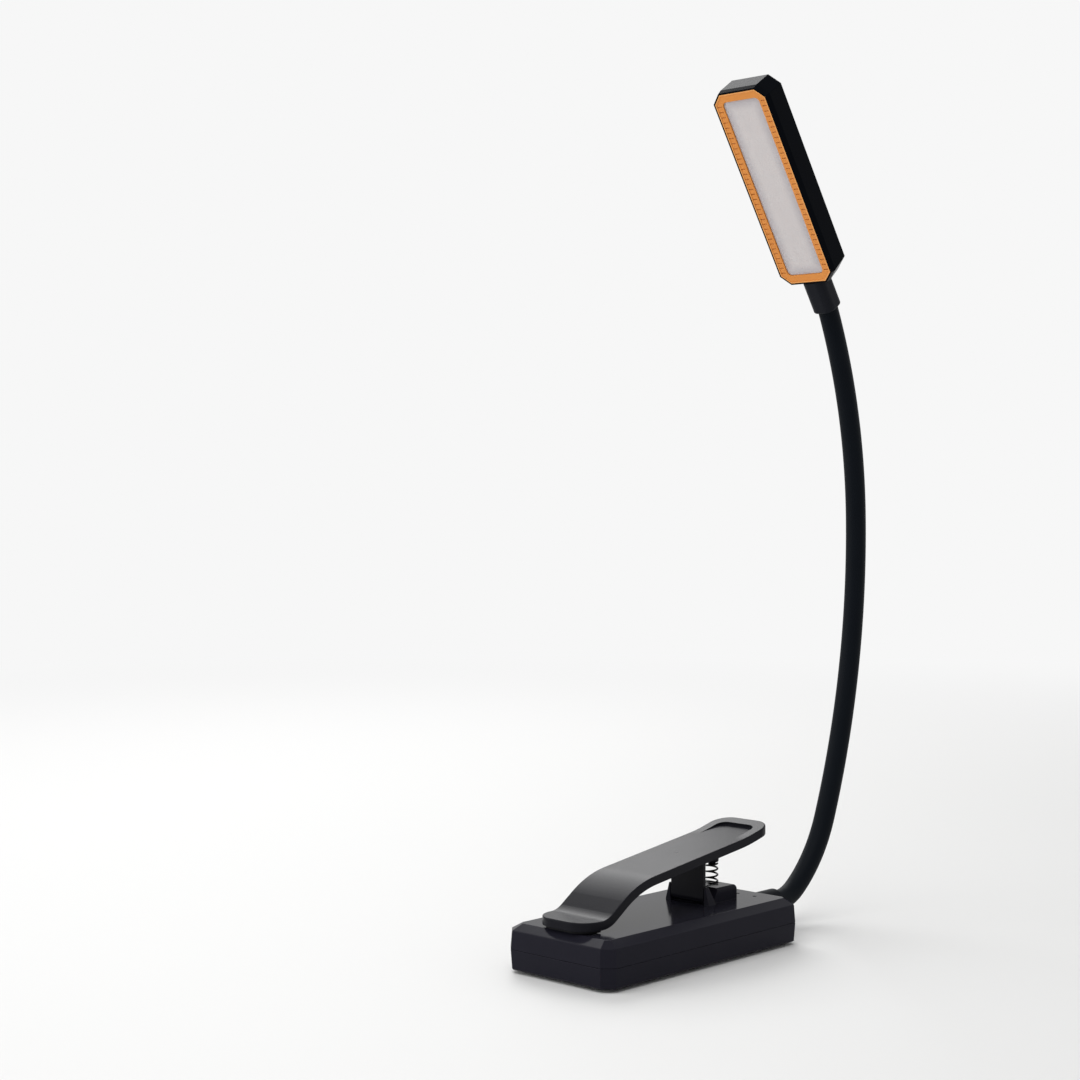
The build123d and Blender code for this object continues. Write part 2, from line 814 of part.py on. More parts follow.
def neck_spans(start, end):
    """Returns the path between two distances as spans of point, heading, length and radius."""
    x, z, heading, passed = neck_start_x, root_height, 0.0, 0.0
    spans = []
    for radius, length in neck_pieces:
        low = max(start, passed) - passed
        high = min(end, passed + length) - passed
        if high - low > 1e-6:
            spans.append((*step(x, z, heading, low, radius), high - low, radius))
        x, z, heading = step(x, z, heading, length, radius)
        passed += length
    return spans


def step(x, z, heading, length, radius):
    """Returns the point and heading after a run along a straight or an arc."""
    if radius is None:
        return x + length * math.cos(heading), z + length * math.sin(heading), heading
    after = heading + length / radius
    return (
        x + radius * (math.sin(after) - math.sin(heading)),
        z + radius * (math.cos(heading) - math.cos(after)),
        after,
    )


def neck_point(distance):
    """Returns the point and heading of the path at a distance from its start."""
    x, z, heading, length, radius = neck_spans(0, distance)[-1] if distance > 0 else (
        neck_start_x, root_height, 0.0, 0.0, None
    )
    return step(x, z, heading, length, radius)


def neck_line(start, end, y=0.0):
    """Draws the path between two distances, moved sideways by y, in the line being built."""
    for x, z, heading, length, radius in neck_spans(start, end):
        middle_x, middle_z, _ = step(x, z, heading, length / 2, radius)
        end_x, end_z, _ = step(x, z, heading, length, radius)
        if radius is None:
            Line((x, y, z), (end_x, y, end_z))
        else:
            ThreePointArc((x, y, z), (middle_x, y, middle_z), (end_x, y, end_z))


def neck_plane(distance, y=0.0):
    """Returns the plane across the path at a distance, moved sideways by y."""
    x, z, heading = neck_point(distance)
    return Plane(origin=(x, y, z), x_dir=(0, 1, 0), z_dir=heading_vector(heading))


def socket_shape(x, z, heading):
    """Adds a ball socket centred at a point and opening backwards, against its heading."""
    along = Plane(origin=(x, 0, z), x_dir=heading_vector(heading), z_dir=(0, -1, 0))
    with BuildSketch(along) as half:
        with Locations(((socket_reach - socket_rim) / 2, core_radius / 2)):
            Rectangle(socket_reach + socket_rim, core_radius)
    revolve(half.sketch, axis=Axis(along.origin, along.x_dir))


def socket_hollow(x, z):
    """Cuts the round hollow that a ball turns in."""
    with Locations((x, 0, z)):
        Sphere(ball_radius + ball_clearance, mode=Mode.SUBTRACT)


def ball_shape(x, z, heading):
    """Adds a ball centred at a point, on a short neck that comes from behind it."""
    behind = Plane(origin=(x, 0, z), x_dir=(0, 1, 0), z_dir=tuple(-v for v in heading_vector(heading)))
    with BuildSketch(behind) as neck:
        Circle(ball_neck_radius)
    extrude(neck.sketch, amount=ball_neck_length + ball_neck_overlap)
    with Locations((x, 0, z)):
        Sphere(ball_radius)


def bore(x, z, heading, before, after):
    """Cuts a straight lead channel through a ball or a socket."""
    start = Plane(
        origin=(x - before * math.cos(heading), 0, z - before * math.sin(heading)),
        x_dir=(0, 1, 0),
        z_dir=heading_vector(heading),
    )
    round_cut(start, core_bore_radius, before + after)


link_length = neck_length / link_count
joint_places = [neck_point(index * link_length) for index in range(link_count + 1)]

# Leads through the root, from the board up to the first joint
lead_drop_x = rear_x - lead_drop_inset
lead_foot_z = board_top_z + lead_solder_gap
lead_rise_x = lead_drop_x + lead_drop_radius
lead_bend_z = root_height - lead_drop_radius
lead_bend_reach = lead_drop_radius * math.cos(math.radians(45))
with BuildPart() as root_leads:
    for side in (-1, 1):
        y = side * lead_spacing / 2
        with BuildLine() as lead_line:
            Line((lead_drop_x, y, lead_foot_z), (lead_drop_x, y, lead_bend_z))
            ThreePointArc(
                (lead_drop_x, y, lead_bend_z),
                (lead_rise_x - lead_bend_reach, y, lead_bend_z + lead_bend_reach),
                (lead_rise_x, y, root_height),
            )
            Line((lead_rise_x, y, root_height), (neck_start_x - lead_joint_gap, y, root_height))
        with BuildSketch(Plane(origin=(lead_drop_x, y, lead_foot_z), z_dir=(0, 0, 1))):
            Circle(lead_radius)
        sweep(path=lead_line.wires()[0])
root_leads.part.label = "root_leads"
export_step(root_leads.part, "parts/root_leads.step")

# Collar that comes out of the rear wall, and the nut that clamps it from inside
collar_foot_x = rear_x + root_collar_gap
collar_mouth_x = rear_x + root_collar_length
nut_rear_x = rear_x - side_wall - wall_draft - root_nut_gap
spigot_foot_x = nut_rear_x - root_nut_thickness - root_spigot_overrun
with BuildPart() as neck_root_collar:
    with BuildSketch(Plane.YZ.offset(collar_foot_x)):
        with Locations((0, root_height)):
            Circle(root_collar_radius)
    extrude(amount=collar_mouth_x - collar_foot_x)
    mouth_edge = neck_root_collar.edges().group_by(Axis.X)[-1]
    fillet(mouth_edge, root_mouth_edge)
    with BuildSketch(Plane.YZ.offset(spigot_foot_x)):
        with Locations((0, root_height)):
            Circle(root_spigot_radius)
    extrude(amount=collar_foot_x - spigot_foot_x)
    with BuildSketch(Plane.YZ.offset(spigot_foot_x)):
        with Locations((0, root_height)):
            Circle(core_radius + ferrule_clearance)
    extrude(amount=collar_mouth_x - spigot_foot_x, mode=Mode.SUBTRACT)
    with BuildSketch(Plane.YZ.offset(collar_mouth_x)):
        with Locations((0, root_height)):
            Circle(root_mouth_radius)
    extrude(amount=-root_mouth_depth, mode=Mode.SUBTRACT)
neck_root_collar.part.label = "neck_root_collar"
export_step(neck_root_collar.part, "parts/neck_root_collar.step")

with BuildPart() as neck_root_nut:
    with BuildSketch(Plane.YZ.offset(nut_rear_x - root_nut_thickness)):
        with Locations((0, root_height)):
            RegularPolygon(root_nut_radius, 6)
            Circle(root_spigot_radius + root_nut_clearance, mode=Mode.SUBTRACT)
    extrude(amount=root_nut_thickness)
neck_root_nut.part.label = "neck_root_nut"
export_step(neck_root_nut.part, "parts/neck_root_nut.step")

# Root ferrule: the fixed end of the metal core, with the first ball
ferrule_foot_x = rear_x - ferrule_inside_length
with BuildPart() as neck_root_ferrule:
    with BuildSketch(Plane.YZ.offset(ferrule_foot_x)):
        with Locations((0, root_height)):
            Circle(core_radius)
    extrude(amount=neck_start_x - ball_neck_length - ferrule_foot_x)
    ball_shape(neck_start_x, root_height, 0.0)
    bore(neck_start_x, root_height, 0.0, neck_start_x - ferrule_foot_x + cut_margin, ball_radius + cut_margin)
neck_root_ferrule.part.label = "neck_root_ferrule"
export_step(neck_root_ferrule.part, "parts/neck_root_ferrule.step")

# Links of the gooseneck: core, silicone sleeve and leads
for index in range(link_count):
    low = index * link_length
    high = low + link_length
    low_x, low_z, low_heading = joint_places[index]
    high_x, high_z, high_heading = joint_places[index + 1]
    core_low = low + socket_reach - socket_overlap
    core_high = high - ball_neck_length
    with BuildPart() as neck_core:
        with BuildLine() as core_line:
            neck_line(core_low, core_high)
        with BuildSketch(neck_plane(core_low)):
            Circle(core_tube_radius)
        sweep(path=core_line.wires()[0])
        socket_shape(low_x, low_z, low_heading)
        ball_shape(high_x, high_z, high_heading)
        socket_hollow(low_x, low_z)
        with BuildLine() as bore_line:
            neck_line(low, high + 2 * ball_radius)
        with BuildSketch(neck_plane(low)):
            Circle(core_bore_radius)
        sweep(path=bore_line.wires()[0], mode=Mode.SUBTRACT)
    name = f"neck_core_{index + 1}"
    neck_core.part.label = name
    export_step(neck_core.part, f"parts/{name}.step")

    sleeve_low = low + sleeve_joint_gap
    sleeve_high = high - sleeve_joint_gap
    with BuildPart() as neck_sleeve:
        with BuildLine() as sleeve_line:
            neck_line(sleeve_low, sleeve_high)
        with BuildSketch(neck_plane(sleeve_low)):
            Circle(sleeve_radius)
            Circle(sleeve_radius - sleeve_wall, mode=Mode.SUBTRACT)
        sweep(path=sleeve_line.wires()[0])
    name = f"neck_sleeve_{index + 1}"
    neck_sleeve.part.label = name
    export_step(neck_sleeve.part, f"parts/{name}.step")

    with BuildPart() as neck_leads:
        for side in (-1, 1):
            y = side * lead_spacing / 2
            with BuildLine() as lead_line:
                neck_line(low + lead_joint_gap, high - lead_joint_gap, y)
            with BuildSketch(neck_plane(low + lead_joint_gap, y)):
                Circle(lead_radius)
            sweep(path=lead_line.wires()[0])
    name = f"neck_leads_{index + 1}"
    neck_leads.part.label = name
    export_step(neck_leads.part, f"parts/{name}.step")

# Head: its own axes are u along the head, y across it and n out of its lit face
neck_end_x, neck_end_z, neck_end_heading = joint_places[-1]
tilt = math.radians(head_tilt)
head_up = (-math.sin(tilt), 0, math.cos(tilt))
head_out = (-math.cos(tilt), 0, -math.sin(tilt))
face_u = head_reach + ring_length / 2
head_heading = math.pi / 2 + tilt


def head_place(u, depth):
    """Returns the point at a distance up the head from the last joint, and behind the lit face."""
    forward = head_depth / 2 - depth
    return (
        neck_end_x + head_up[0] * u + head_out[0] * forward,
        0,
        neck_end_z + head_up[2] * u + head_out[2] * forward,
    )


def head_plane(depth):
    """Returns the plane parallel to the lit face at a depth behind it, with x up the head."""
    return Plane(origin=head_place(face_u, depth), x_dir=head_up, z_dir=head_out)


def head_outline(depth, margin, foot_cut=0.0):
    """Returns the head's outline at a depth: the ring's, enlarged, with its lower corners cut deeper."""
    corners = octagon_inset(ring_length, ring_width, ring_cut, -margin)
    half_length = -corners[0][0]
    half_width = -corners[1][1]
    cut = half_width + corners[0][1] + foot_cut
    near_foot = [(-half_length, cut - half_width), (cut - half_length, -half_width)]
    far_foot = [(cut - half_length, half_width), (-half_length, half_width - cut)]
    with BuildSketch(head_plane(depth)) as level:
        Polygon(*near_foot, *corners[2:6], *far_foot, align=None)
    return level.sketch


cavity_front = ring_thickness
cavity_rear = head_depth - head_wall
cavity_margin = rim_rear - head_wall
frame_front = ring_thickness + diffuser_flange
board_front = frame_front + light_frame_depth
board_rear = board_front + led_board_thickness
insert_outline = octagon_inset(ring_length, ring_width, ring_cut, head_piece_gap - cavity_margin)
insert_length = -2 * insert_outline[0][0]
insert_width = -2 * insert_outline[1][1]
insert_cut = insert_width / 2 + insert_outline[0][1]

# Housing of the head
with BuildPart() as head_housing:
    loft(
        [
            head_outline(head_depth, rim_rear, head_foot_cut),
            head_outline(head_bevel_depth, rim_back_of_bevel),
            head_outline(0, rim_front),
        ],
        ruled=True,
    )
    outwards = Axis(head_place(0, 0), head_out)
    front_edges = head_housing.faces().sort_by(outwards)[-1].edges()
    other_edges = [
        edge for edge in head_housing.edges() if not any(edge.is_same(front) for front in front_edges)
    ]
    fillet(other_edges, head_edge_radius)
    rim_edges = head_housing.faces().sort_by(outwards)[-1].edges()
    fillet(rim_edges, head_rim_radius)
    ring_seat = head_outline(-cut_margin, ring_gap)
    extrude(ring_seat, amount=-(cavity_front + cut_margin), mode=Mode.SUBTRACT)
    extrude(head_outline(cavity_front, cavity_margin), amount=cavity_front - cavity_rear, mode=Mode.SUBTRACT)
    button_hole = head_plane(cavity_rear - cut_margin)
    button_hole_radius = button_radius + button_clearance
    round_cut(button_hole, button_hole_radius, -(head_wall + 2 * cut_margin), [(button_u, 0)])
    spigot_hole = Plane(origin=head_place(head_reach - rim_rear - cut_margin, head_depth / 2), z_dir=head_up)
    round_cut(spigot_hole, head_spigot_radius + head_spigot_clearance, rim_rear + 2 * cut_margin)
head_housing.part.label = "head_housing"
export_step(head_housing.part, "parts/head_housing.step")

# Amber ring with tick grooves along both long sides
window_length = ring_length - 2 * ring_band
window_width = ring_width - 2 * ring_band
tick_pitch = tick_span / (tick_count - 1)
tick_y = ring_width / 2 - ring_lip_width - tick_length / 2
with BuildPart() as amber_ring:
    with BuildSketch(head_plane(0)):
        Polygon(*octagon(ring_length, ring_width, ring_cut), align=None)
        RectangleRounded(window_length, window_width, window_corner_radius, mode=Mode.SUBTRACT)
    extrude(amount=-ring_thickness)
    with BuildSketch(head_plane(0)):
        Polygon(*octagon_inset(ring_length, ring_width, ring_cut, ring_lip_width), align=None)
    extrude(amount=-ring_lip_depth, mode=Mode.SUBTRACT)
    with BuildSketch(head_plane(0)):
        for side in (-1, 1):
            with Locations((0, side * tick_y)):
                with GridLocations(tick_pitch, 1, tick_count, 1):
                    Rectangle(tick_width, tick_length)
    extrude(amount=-(ring_lip_depth + tick_depth), mode=Mode.SUBTRACT)
amber_ring.part.label = "amber_ring"
export_step(amber_ring.part, "parts/amber_ring.step")

# Diffuser: a flange behind the ring and a raised window inside it
with BuildPart() as diffuser:
    with BuildSketch(head_plane(ring_thickness)):
        Polygon(*insert_outline, align=None)
    extrude(amount=-diffuser_flange)
    with BuildSketch(head_plane(ring_thickness)):
        RectangleRounded(
            window_length - 2 * diffuser_gap,
            window_width - 2 * diffuser_gap,
            window_corner_radius - diffuser_gap,
        )
    extrude(amount=ring_thickness - window_recess)
diffuser.part.label = "diffuser"
export_step(diffuser.part, "parts/diffuser.step")

# White frame between the diffuser and the lamp board
with BuildPart() as led_frame:
    with BuildSketch(head_plane(frame_front)):
        Polygon(*insert_outline, align=None)
        Rectangle(
            insert_length - 2 * light_frame_wall - insert_cut,
            insert_width - 2 * light_frame_wall,
            mode=Mode.SUBTRACT,
        )
    extrude(amount=-light_frame_depth)
led_frame.part.label = "led_frame"
export_step(led_frame.part, "parts/led_frame.step")

# Lamp board and its chips
with BuildPart() as led_board:
    with BuildSketch(head_plane(board_front)):
        Polygon(*insert_outline, align=None)
        with Locations((-insert_length / 2, 0)):
            Rectangle(2 * lead_notch_length, lead_notch_width, mode=Mode.SUBTRACT)
    extrude(amount=-led_board_thickness)
led_board.part.label = "led_board"
export_step(led_board.part, "parts/led_board.step")

with BuildPart() as led_chips:
    with BuildSketch(head_plane(board_front)):
        with GridLocations(led_pitch_x, led_pitch_y, led_columns, led_rows):
            Rectangle(led_size, led_size)
    extrude(amount=led_thickness)
led_chips.part.label = "led_chips"
export_step(led_chips.part, "parts/led_chips.step")

# Switch behind the board, its plunger and the button in the rear wall
switch_rear = board_rear + switch_height
button_foot = switch_rear + button_travel + button_stop_gap
flange_front = cavity_rear - button_flange_thickness - button_flange_gap
with BuildPart() as switch_case:
    with BuildSketch(head_plane(board_rear)):
        with Locations((button_u, 0)):
            Rectangle(switch_size, switch_size)
    extrude(amount=-switch_height)
    with BuildSketch(head_plane(switch_rear)):
        with Locations((button_u, 0)):
            Circle(plunger_radius + plunger_clearance)
    extrude(amount=button_travel + 2 * plunger_reach, mode=Mode.SUBTRACT)
switch_case.part.label = "switch_case"
export_step(switch_case.part, "parts/switch_case.step")

with BuildPart() as switch_plunger:
    with BuildSketch(head_plane(button_foot)):
        with Locations((button_u, 0)):
            Circle(plunger_radius)
    extrude(amount=button_foot - switch_rear + plunger_reach)
switch_plunger.part.label = "switch_plunger"
export_step(switch_plunger.part, "parts/switch_plunger.step")

with BuildPart() as head_button:
    with BuildSketch(head_plane(button_foot)):
        with Locations((button_u, 0)):
            Circle(button_radius)
    extrude(amount=-(head_depth + button_proud - button_foot))
    cap_edge = head_button.faces().sort_by(Axis(head_place(0, 0), head_out))[0].edges()
    fillet(cap_edge, button_edge_radius)
    with BuildSketch(head_plane(flange_front)):
        with Locations((button_u, 0)):
            Circle(button_flange_radius)
    extrude(amount=-button_flange_thickness)
head_button.part.label = "head_button"
export_step(head_button.part, "parts/head_button.step")

# Collar under the head, around the last joint
collar_top_u = head_reach - rim_rear - head_collar_gap
collar_plane = Plane(origin=head_place(head_collar_start, head_depth / 2), x_dir=(0, 1, 0), z_dir=head_up)
collar_length = collar_top_u - head_collar_start
with BuildPart() as head_collar:
    with BuildSketch(collar_plane):
        RectangleRounded(head_collar_size, head_collar_size, head_collar_corner)
    extrude(amount=collar_length)
    collar_mouth_edges = head_collar.faces().sort_by(Axis(head_place(0, 0), head_up))[0].edges()
    fillet(collar_mouth_edges, head_collar_edge)
    with BuildSketch(collar_plane.offset(collar_length)):
        Circle(head_spigot_radius)
    extrude(amount=rim_rear - head_spigot_end_gap)
    round_cut(collar_plane, core_radius + ferrule_clearance, collar_length + rim_rear)
    round_cut(collar_plane, head_collar_mouth_radius, head_collar_mouth_depth)
head_collar.part.label = "head_collar"
export_step(head_collar.part, "parts/head_collar.step")

# Head ferrule: the last socket and the tube that holds the head
ferrule_top_u = collar_top_u + head_wall
with BuildPart() as neck_head_ferrule:
    socket_shape(neck_end_x, neck_end_z, head_heading)
    ferrule_start = socket_reach - socket_overlap
    with BuildSketch(Plane(origin=head_place(ferrule_start, head_depth / 2), z_dir=head_up)):
        Circle(core_radius)
    extrude(amount=ferrule_top_u - ferrule_start)
    socket_hollow(neck_end_x, neck_end_z)
    bore(neck_end_x, neck_end_z, head_heading, 0, ferrule_top_u + cut_margin)
neck_head_ferrule.part.label = "neck_head_ferrule"
export_step(neck_head_ferrule.part, "parts/neck_head_ferrule.step")

# Leads from the last joint to the lamp board
with BuildPart() as head_leads:
    lead_top_u = face_u - insert_length / 2 + lead_notch_length - lead_solder_gap
    for side in (-1, 1):
        start = head_place(lead_joint_gap, head_depth / 2)
        lead_plane = Plane(origin=(start[0], side * lead_spacing / 2, start[2]), z_dir=head_up)
        with BuildSketch(lead_plane):
            Circle(lead_radius)
        extrude(amount=lead_top_u - lead_joint_gap)
head_leads.part.label = "head_leads"
export_step(head_leads.part, "parts/head_leads.step")
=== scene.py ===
"""Clip-on gooseneck book light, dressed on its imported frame.

Sizes in the classes are in millimetres and become metres when a mesh is made. The origin is the
centre of the foot's underside, +X runs towards the gooseneck and +Z is up.
"""

import logging
import math
from abc import ABC, abstractmethod
from dataclasses import dataclass, field
from enum import Enum

import bmesh
import bpy
import numpy as np
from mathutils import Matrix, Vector

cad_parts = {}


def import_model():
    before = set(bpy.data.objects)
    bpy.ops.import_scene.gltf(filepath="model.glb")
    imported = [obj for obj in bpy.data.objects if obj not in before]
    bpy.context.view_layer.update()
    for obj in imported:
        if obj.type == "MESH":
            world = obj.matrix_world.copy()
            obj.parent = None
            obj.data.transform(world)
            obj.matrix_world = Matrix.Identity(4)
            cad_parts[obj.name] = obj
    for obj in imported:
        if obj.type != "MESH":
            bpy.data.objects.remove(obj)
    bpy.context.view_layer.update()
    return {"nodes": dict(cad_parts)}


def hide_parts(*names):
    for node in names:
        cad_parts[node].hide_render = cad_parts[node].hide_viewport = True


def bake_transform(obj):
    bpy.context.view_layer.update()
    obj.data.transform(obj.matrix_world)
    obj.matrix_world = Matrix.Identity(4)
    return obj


MM = 0.001
CREASE = 60.0  # degrees past which an edge is sharp
GRAIN_HEIGHT = 0.05  # millimetres that a grain height of 1 stands for
EDGE_SAMPLES = 6  # rays that look for a near edge
ACROSS = (0.0, 1.0, 0.0)  # across the lamp, from the camera's side to the far side
WHITE = (1.0, 1.0, 1.0, 1.0)

Triple = tuple[float, float, float]
Colour = tuple[float, float, float]
Tree = bpy.types.NodeTree
Node = bpy.types.Node
Socket = bpy.types.NodeSocket
Source = Socket | float | tuple[float, ...]

log = logging.getLogger("book_light")


# Shapes

@dataclass
class Shape:
    """A closed surface as points in millimetres and faces as tuples of point numbers."""

    points: np.ndarray
    faces: list[tuple[int, ...]]


def grid_faces(rows: int, columns: int, wrap_rows: bool) -> list[tuple[int, ...]]:
    """Returns the four-sided faces of a grid whose columns wrap round.

    Args:
        rows: how many rings the grid has.
        columns: how many points each ring has.
        wrap_rows: whether the last ring joins the first.

    Returns:
        One tuple for each cell: this ring's point, the next ring's, its neighbour, this ring's
        neighbour.
    """
    last = rows if wrap_rows else rows - 1
    row, column = np.meshgrid(np.arange(last), np.arange(columns), indexing="ij")
    next_row = (row + 1) % rows
    next_column = (column + 1) % columns
    corners = np.stack([
        row * columns + column,
        next_row * columns + column,
        next_row * columns + next_column,
        row * columns + next_column,
    ], axis=-1)
    return [tuple(face) for face in corners.reshape(-1, 4).tolist()]


def skin(rings: np.ndarray, closed: bool = False) -> Shape:
    """Makes a closed surface through rings of points.

    Args:
        rings: an array of ring, point and coordinate. Each ring runs the same way round.
        closed: whether the last ring joins the first, as on a tube wall. Otherwise both ends get a
            flat face.

    Returns:
        The surface, one face for each cell of the grid and one for each open end.
    """
    rows, columns = rings.shape[:2]
    faces = grid_faces(rows, columns, closed)
    if not closed:
        faces.append(tuple(range(columns)))
        faces.append(tuple(range((rows - 1) * columns, rows * columns))[::-1])
    return Shape(rings.reshape(-1, 3), faces)


def turn_outwards(mesh: bpy.types.Mesh) -> None:
    """Points every closed surface of a mesh outwards.

    Args:
        mesh: the mesh to change.
    """
    work = bmesh.new()
    work.from_mesh(mesh)
    bmesh.ops.recalc_face_normals(work, faces=work.faces)
    work.to_mesh(mesh)
    work.free()


def add_object(name: str, data: bpy.types.ID) -> bpy.types.Object:
    """Puts a mesh, a camera or a lamp into the scene.

    Args:
        name: the object's name.
        data: its mesh, camera or lamp.

    Returns:
        The new object, at the origin.
    """
    item = bpy.data.objects.new(name, data)
    bpy.context.scene.collection.objects.link(item)
    return item


def make_piece(name: str, shape: Shape, material: bpy.types.Material) -> bpy.types.Object:
    """Puts a surface into a smooth mesh with outward faces.

    Args:
        name: the piece's name.
        shape: the surface in millimetres.
        material: the piece's finish.

    Returns:
        The new object, at the origin.
    """
    mesh = bpy.data.meshes.new(name)
    mesh.from_pydata((shape.points * MM).tolist(), [], shape.faces)
    mesh.validate()
    turn_outwards(mesh)
    mesh.polygons.foreach_set("use_smooth", [True] * len(mesh.polygons))
    mesh.set_sharp_from_angle(angle=math.radians(CREASE))
    mesh.materials.append(material)
    mesh.update()
    log.info("%s: %d faces", name, len(mesh.polygons))
    return add_object(name, mesh)


# Places that follow the part

@dataclass(frozen=True)
class NeckPath:
    """The gooseneck's middle line in the XZ plane.

    It is a straight root and then tangent arcs, each with its radius and its turn in degrees.
    """

    start: tuple[float, float] = (59.5, 8.2)
    root: float = 1.4
    arcs: tuple[tuple[float, float], ...] = (
        (15.6, 36.0), (47.9, 32.6), (256.0, 23.0), (172.5, 23.8))

    @property
    def length(self) -> float:
        """The length from the first joint to the last."""
        return self.root + sum(radius * math.radians(turn) for radius, turn in self.arcs)

    def at(self, distance: np.ndarray) -> tuple[np.ndarray, np.ndarray]:
        """Returns points and headings along the path.

        A straight adds its share of the heading's direction. An arc of radius r from heading a to
        heading b adds r (sin b - sin a) along X and r (cos a - cos b) along Z. Before the start
        and past the end the path runs straight.

        Args:
            distance: distances from the first joint, as an array.

        Returns:
            The points as an array of three coordinates each, and the headings in radians.
        """
        distance = np.asarray(distance, float)
        heading = np.zeros_like(distance)
        x = self.start[0] + np.minimum(distance, self.root)
        z = np.full_like(distance, self.start[1])
        passed = self.root
        for radius, turn in self.arcs:
            run = np.clip(distance - passed, 0, radius * math.radians(turn))
            after = heading + run / radius
            x = x + radius * (np.sin(after) - np.sin(heading))
            z = z + radius * (np.cos(heading) - np.cos(after))
            heading = after
            passed += radius * math.radians(turn)
        past = np.maximum(distance - passed, 0)
        x = x + past * np.cos(heading)
        z = z + past * np.sin(heading)
        return np.stack([x, np.zeros_like(x), z], axis=-1), heading


@dataclass(frozen=True)
class HeadPlace:
    """Where the head stands past the gooseneck's last joint.

    The head leans back by tilt degrees. Its ring begins at reach up the head from the joint, and
    the joint lies in the middle of the head's depth.
    """

    path: NeckPath = field(default_factory=NeckPath)
    tilt: float = 34.2
    reach: float = 12.85
    ring_length: float = 68.4
    depth: float = 9.1

    @property
    def up(self) -> Triple:
        """The direction up the head."""
        return (-math.sin(math.radians(self.tilt)), 0.0, math.cos(math.radians(self.tilt)))

    @property
    def out(self) -> Triple:
        """The direction in which the head shines."""
        return (-math.cos(math.radians(self.tilt)), 0.0, -math.sin(math.radians(self.tilt)))

    @property
    def joint(self) -> np.ndarray:
        """The last joint's place."""
        points, _ = self.path.at(np.array([self.path.length]))
        return points[0]

    @property
    def middle_level(self) -> float:
        """The lit face's middle, as a distance from the origin along up."""
        return float(self.joint @ np.array(self.up)) + self.reach + self.ring_length / 2

    @property
    def lit_level(self) -> float:
        """The lit face's distance from the origin along out."""
        return float(self.joint @ np.array(self.out)) + self.depth / 2


HEAD = HeadPlace()


# Shader nodes

def feed(tree: Tree, target: Socket, source: Source) -> None:
    """Links a source to an input, or sets the input where the source is a plain value.

    Args:
        tree: the nodes that both belong to.
        target: the input.
        source: an output, a number or a tuple of numbers.
    """
    if isinstance(source, Socket):
        tree.links.new(source, target)
    else:
        target.default_value = source


def add(tree: Tree, kind: str, inputs: dict[str | int, Source], **settings: object) -> Node:
    """Adds a shader node.

    Args:
        tree: the nodes of a material, a world or a group.
        kind: the node's type, without the ShaderNode before it.
        inputs: each input's name or number, with what feeds it.
        settings: the node's own settings, such as its operation. They are made first, because
            they decide which inputs the node has.

    Returns:
        The new node.
    """
    node = tree.nodes.new(f"ShaderNode{kind}")
    for label, value in settings.items():
        setattr(node, label, value)
    for label, source in inputs.items():
        feed(tree, node.inputs[label], source)
    return node


def combine(tree: Tree, operation: str, *sources: Source) -> Socket:
    """Adds a math node with its sources in order and returns its result."""
    return add(tree, "Math", dict(enumerate(sources)), operation=operation).outputs[0]


def mix_colours(tree: Tree, factor: Socket, first: Socket | Colour,
                second: Socket | Colour) -> Socket:
    """Mixes two colours.

    Args:
        tree: the nodes to add to.
        factor: how far the mix runs from the first colour at 0 to the second at 1.
        first: an output or a colour.
        second: an output or a colour.

    Returns:
        The mixed colour.
    """
    inputs = {"Factor": factor}
    for label, ink in (("A", first), ("B", second)):
        inputs[label] = ink if isinstance(ink, Socket) else (*ink, 1.0)
    return add(tree, "Mix", inputs, data_type="RGBA").outputs["Result"]


def object_place(tree: Tree) -> Socket:
    """Returns the place in the object's own coordinates, in metres."""
    return add(tree, "TexCoord", {}).outputs["Object"]


def along(tree: Tree, place: Socket, axis: Triple) -> Socket:
    """Returns how far a place lies along an axis from the origin."""
    return add(tree, "VectorMath", {0: place, 1: axis}, operation="DOT_PRODUCT").outputs["Value"]


def new_group(name: str, inputs: tuple[str, ...],
              outputs: tuple[str, ...]) -> tuple[Tree, Node, Node]:
    """Starts a shader node group with named number inputs and outputs.

    Args:
        name: the group's name.
        inputs: the inputs' names.
        outputs: the outputs' names.

    Returns:
        The group, its input node and its output node.
    """
    group = bpy.data.node_groups.new(name, "ShaderNodeTree")
    for direction, labels in (("INPUT", inputs), ("OUTPUT", outputs)):
        for label in labels:
            group.interface.new_socket(
                name=label, in_out=direction, socket_type="NodeSocketFloat")
    return group, group.nodes.new("NodeGroupInput"), group.nodes.new("NodeGroupOutput")


# Patterns that several finishes share

@dataclass(frozen=True)
class Pattern(ABC):
    """A pattern over a surface, as a node group that is built once."""

    name: str

    def place(self, tree: Tree, values: dict[str, float]) -> Node:
        """Places the pattern in a material.

        Args:
            tree: the material's nodes.
            values: the material's own values for the pattern's inputs.

        Returns:
            The group's node.
        """
        if self.name not in bpy.data.node_groups:
            self.build()
        return add(tree, "Group", values, node_tree=bpy.data.node_groups[self.name])

    @abstractmethod
    def build(self) -> None:
        """Builds the node group."""


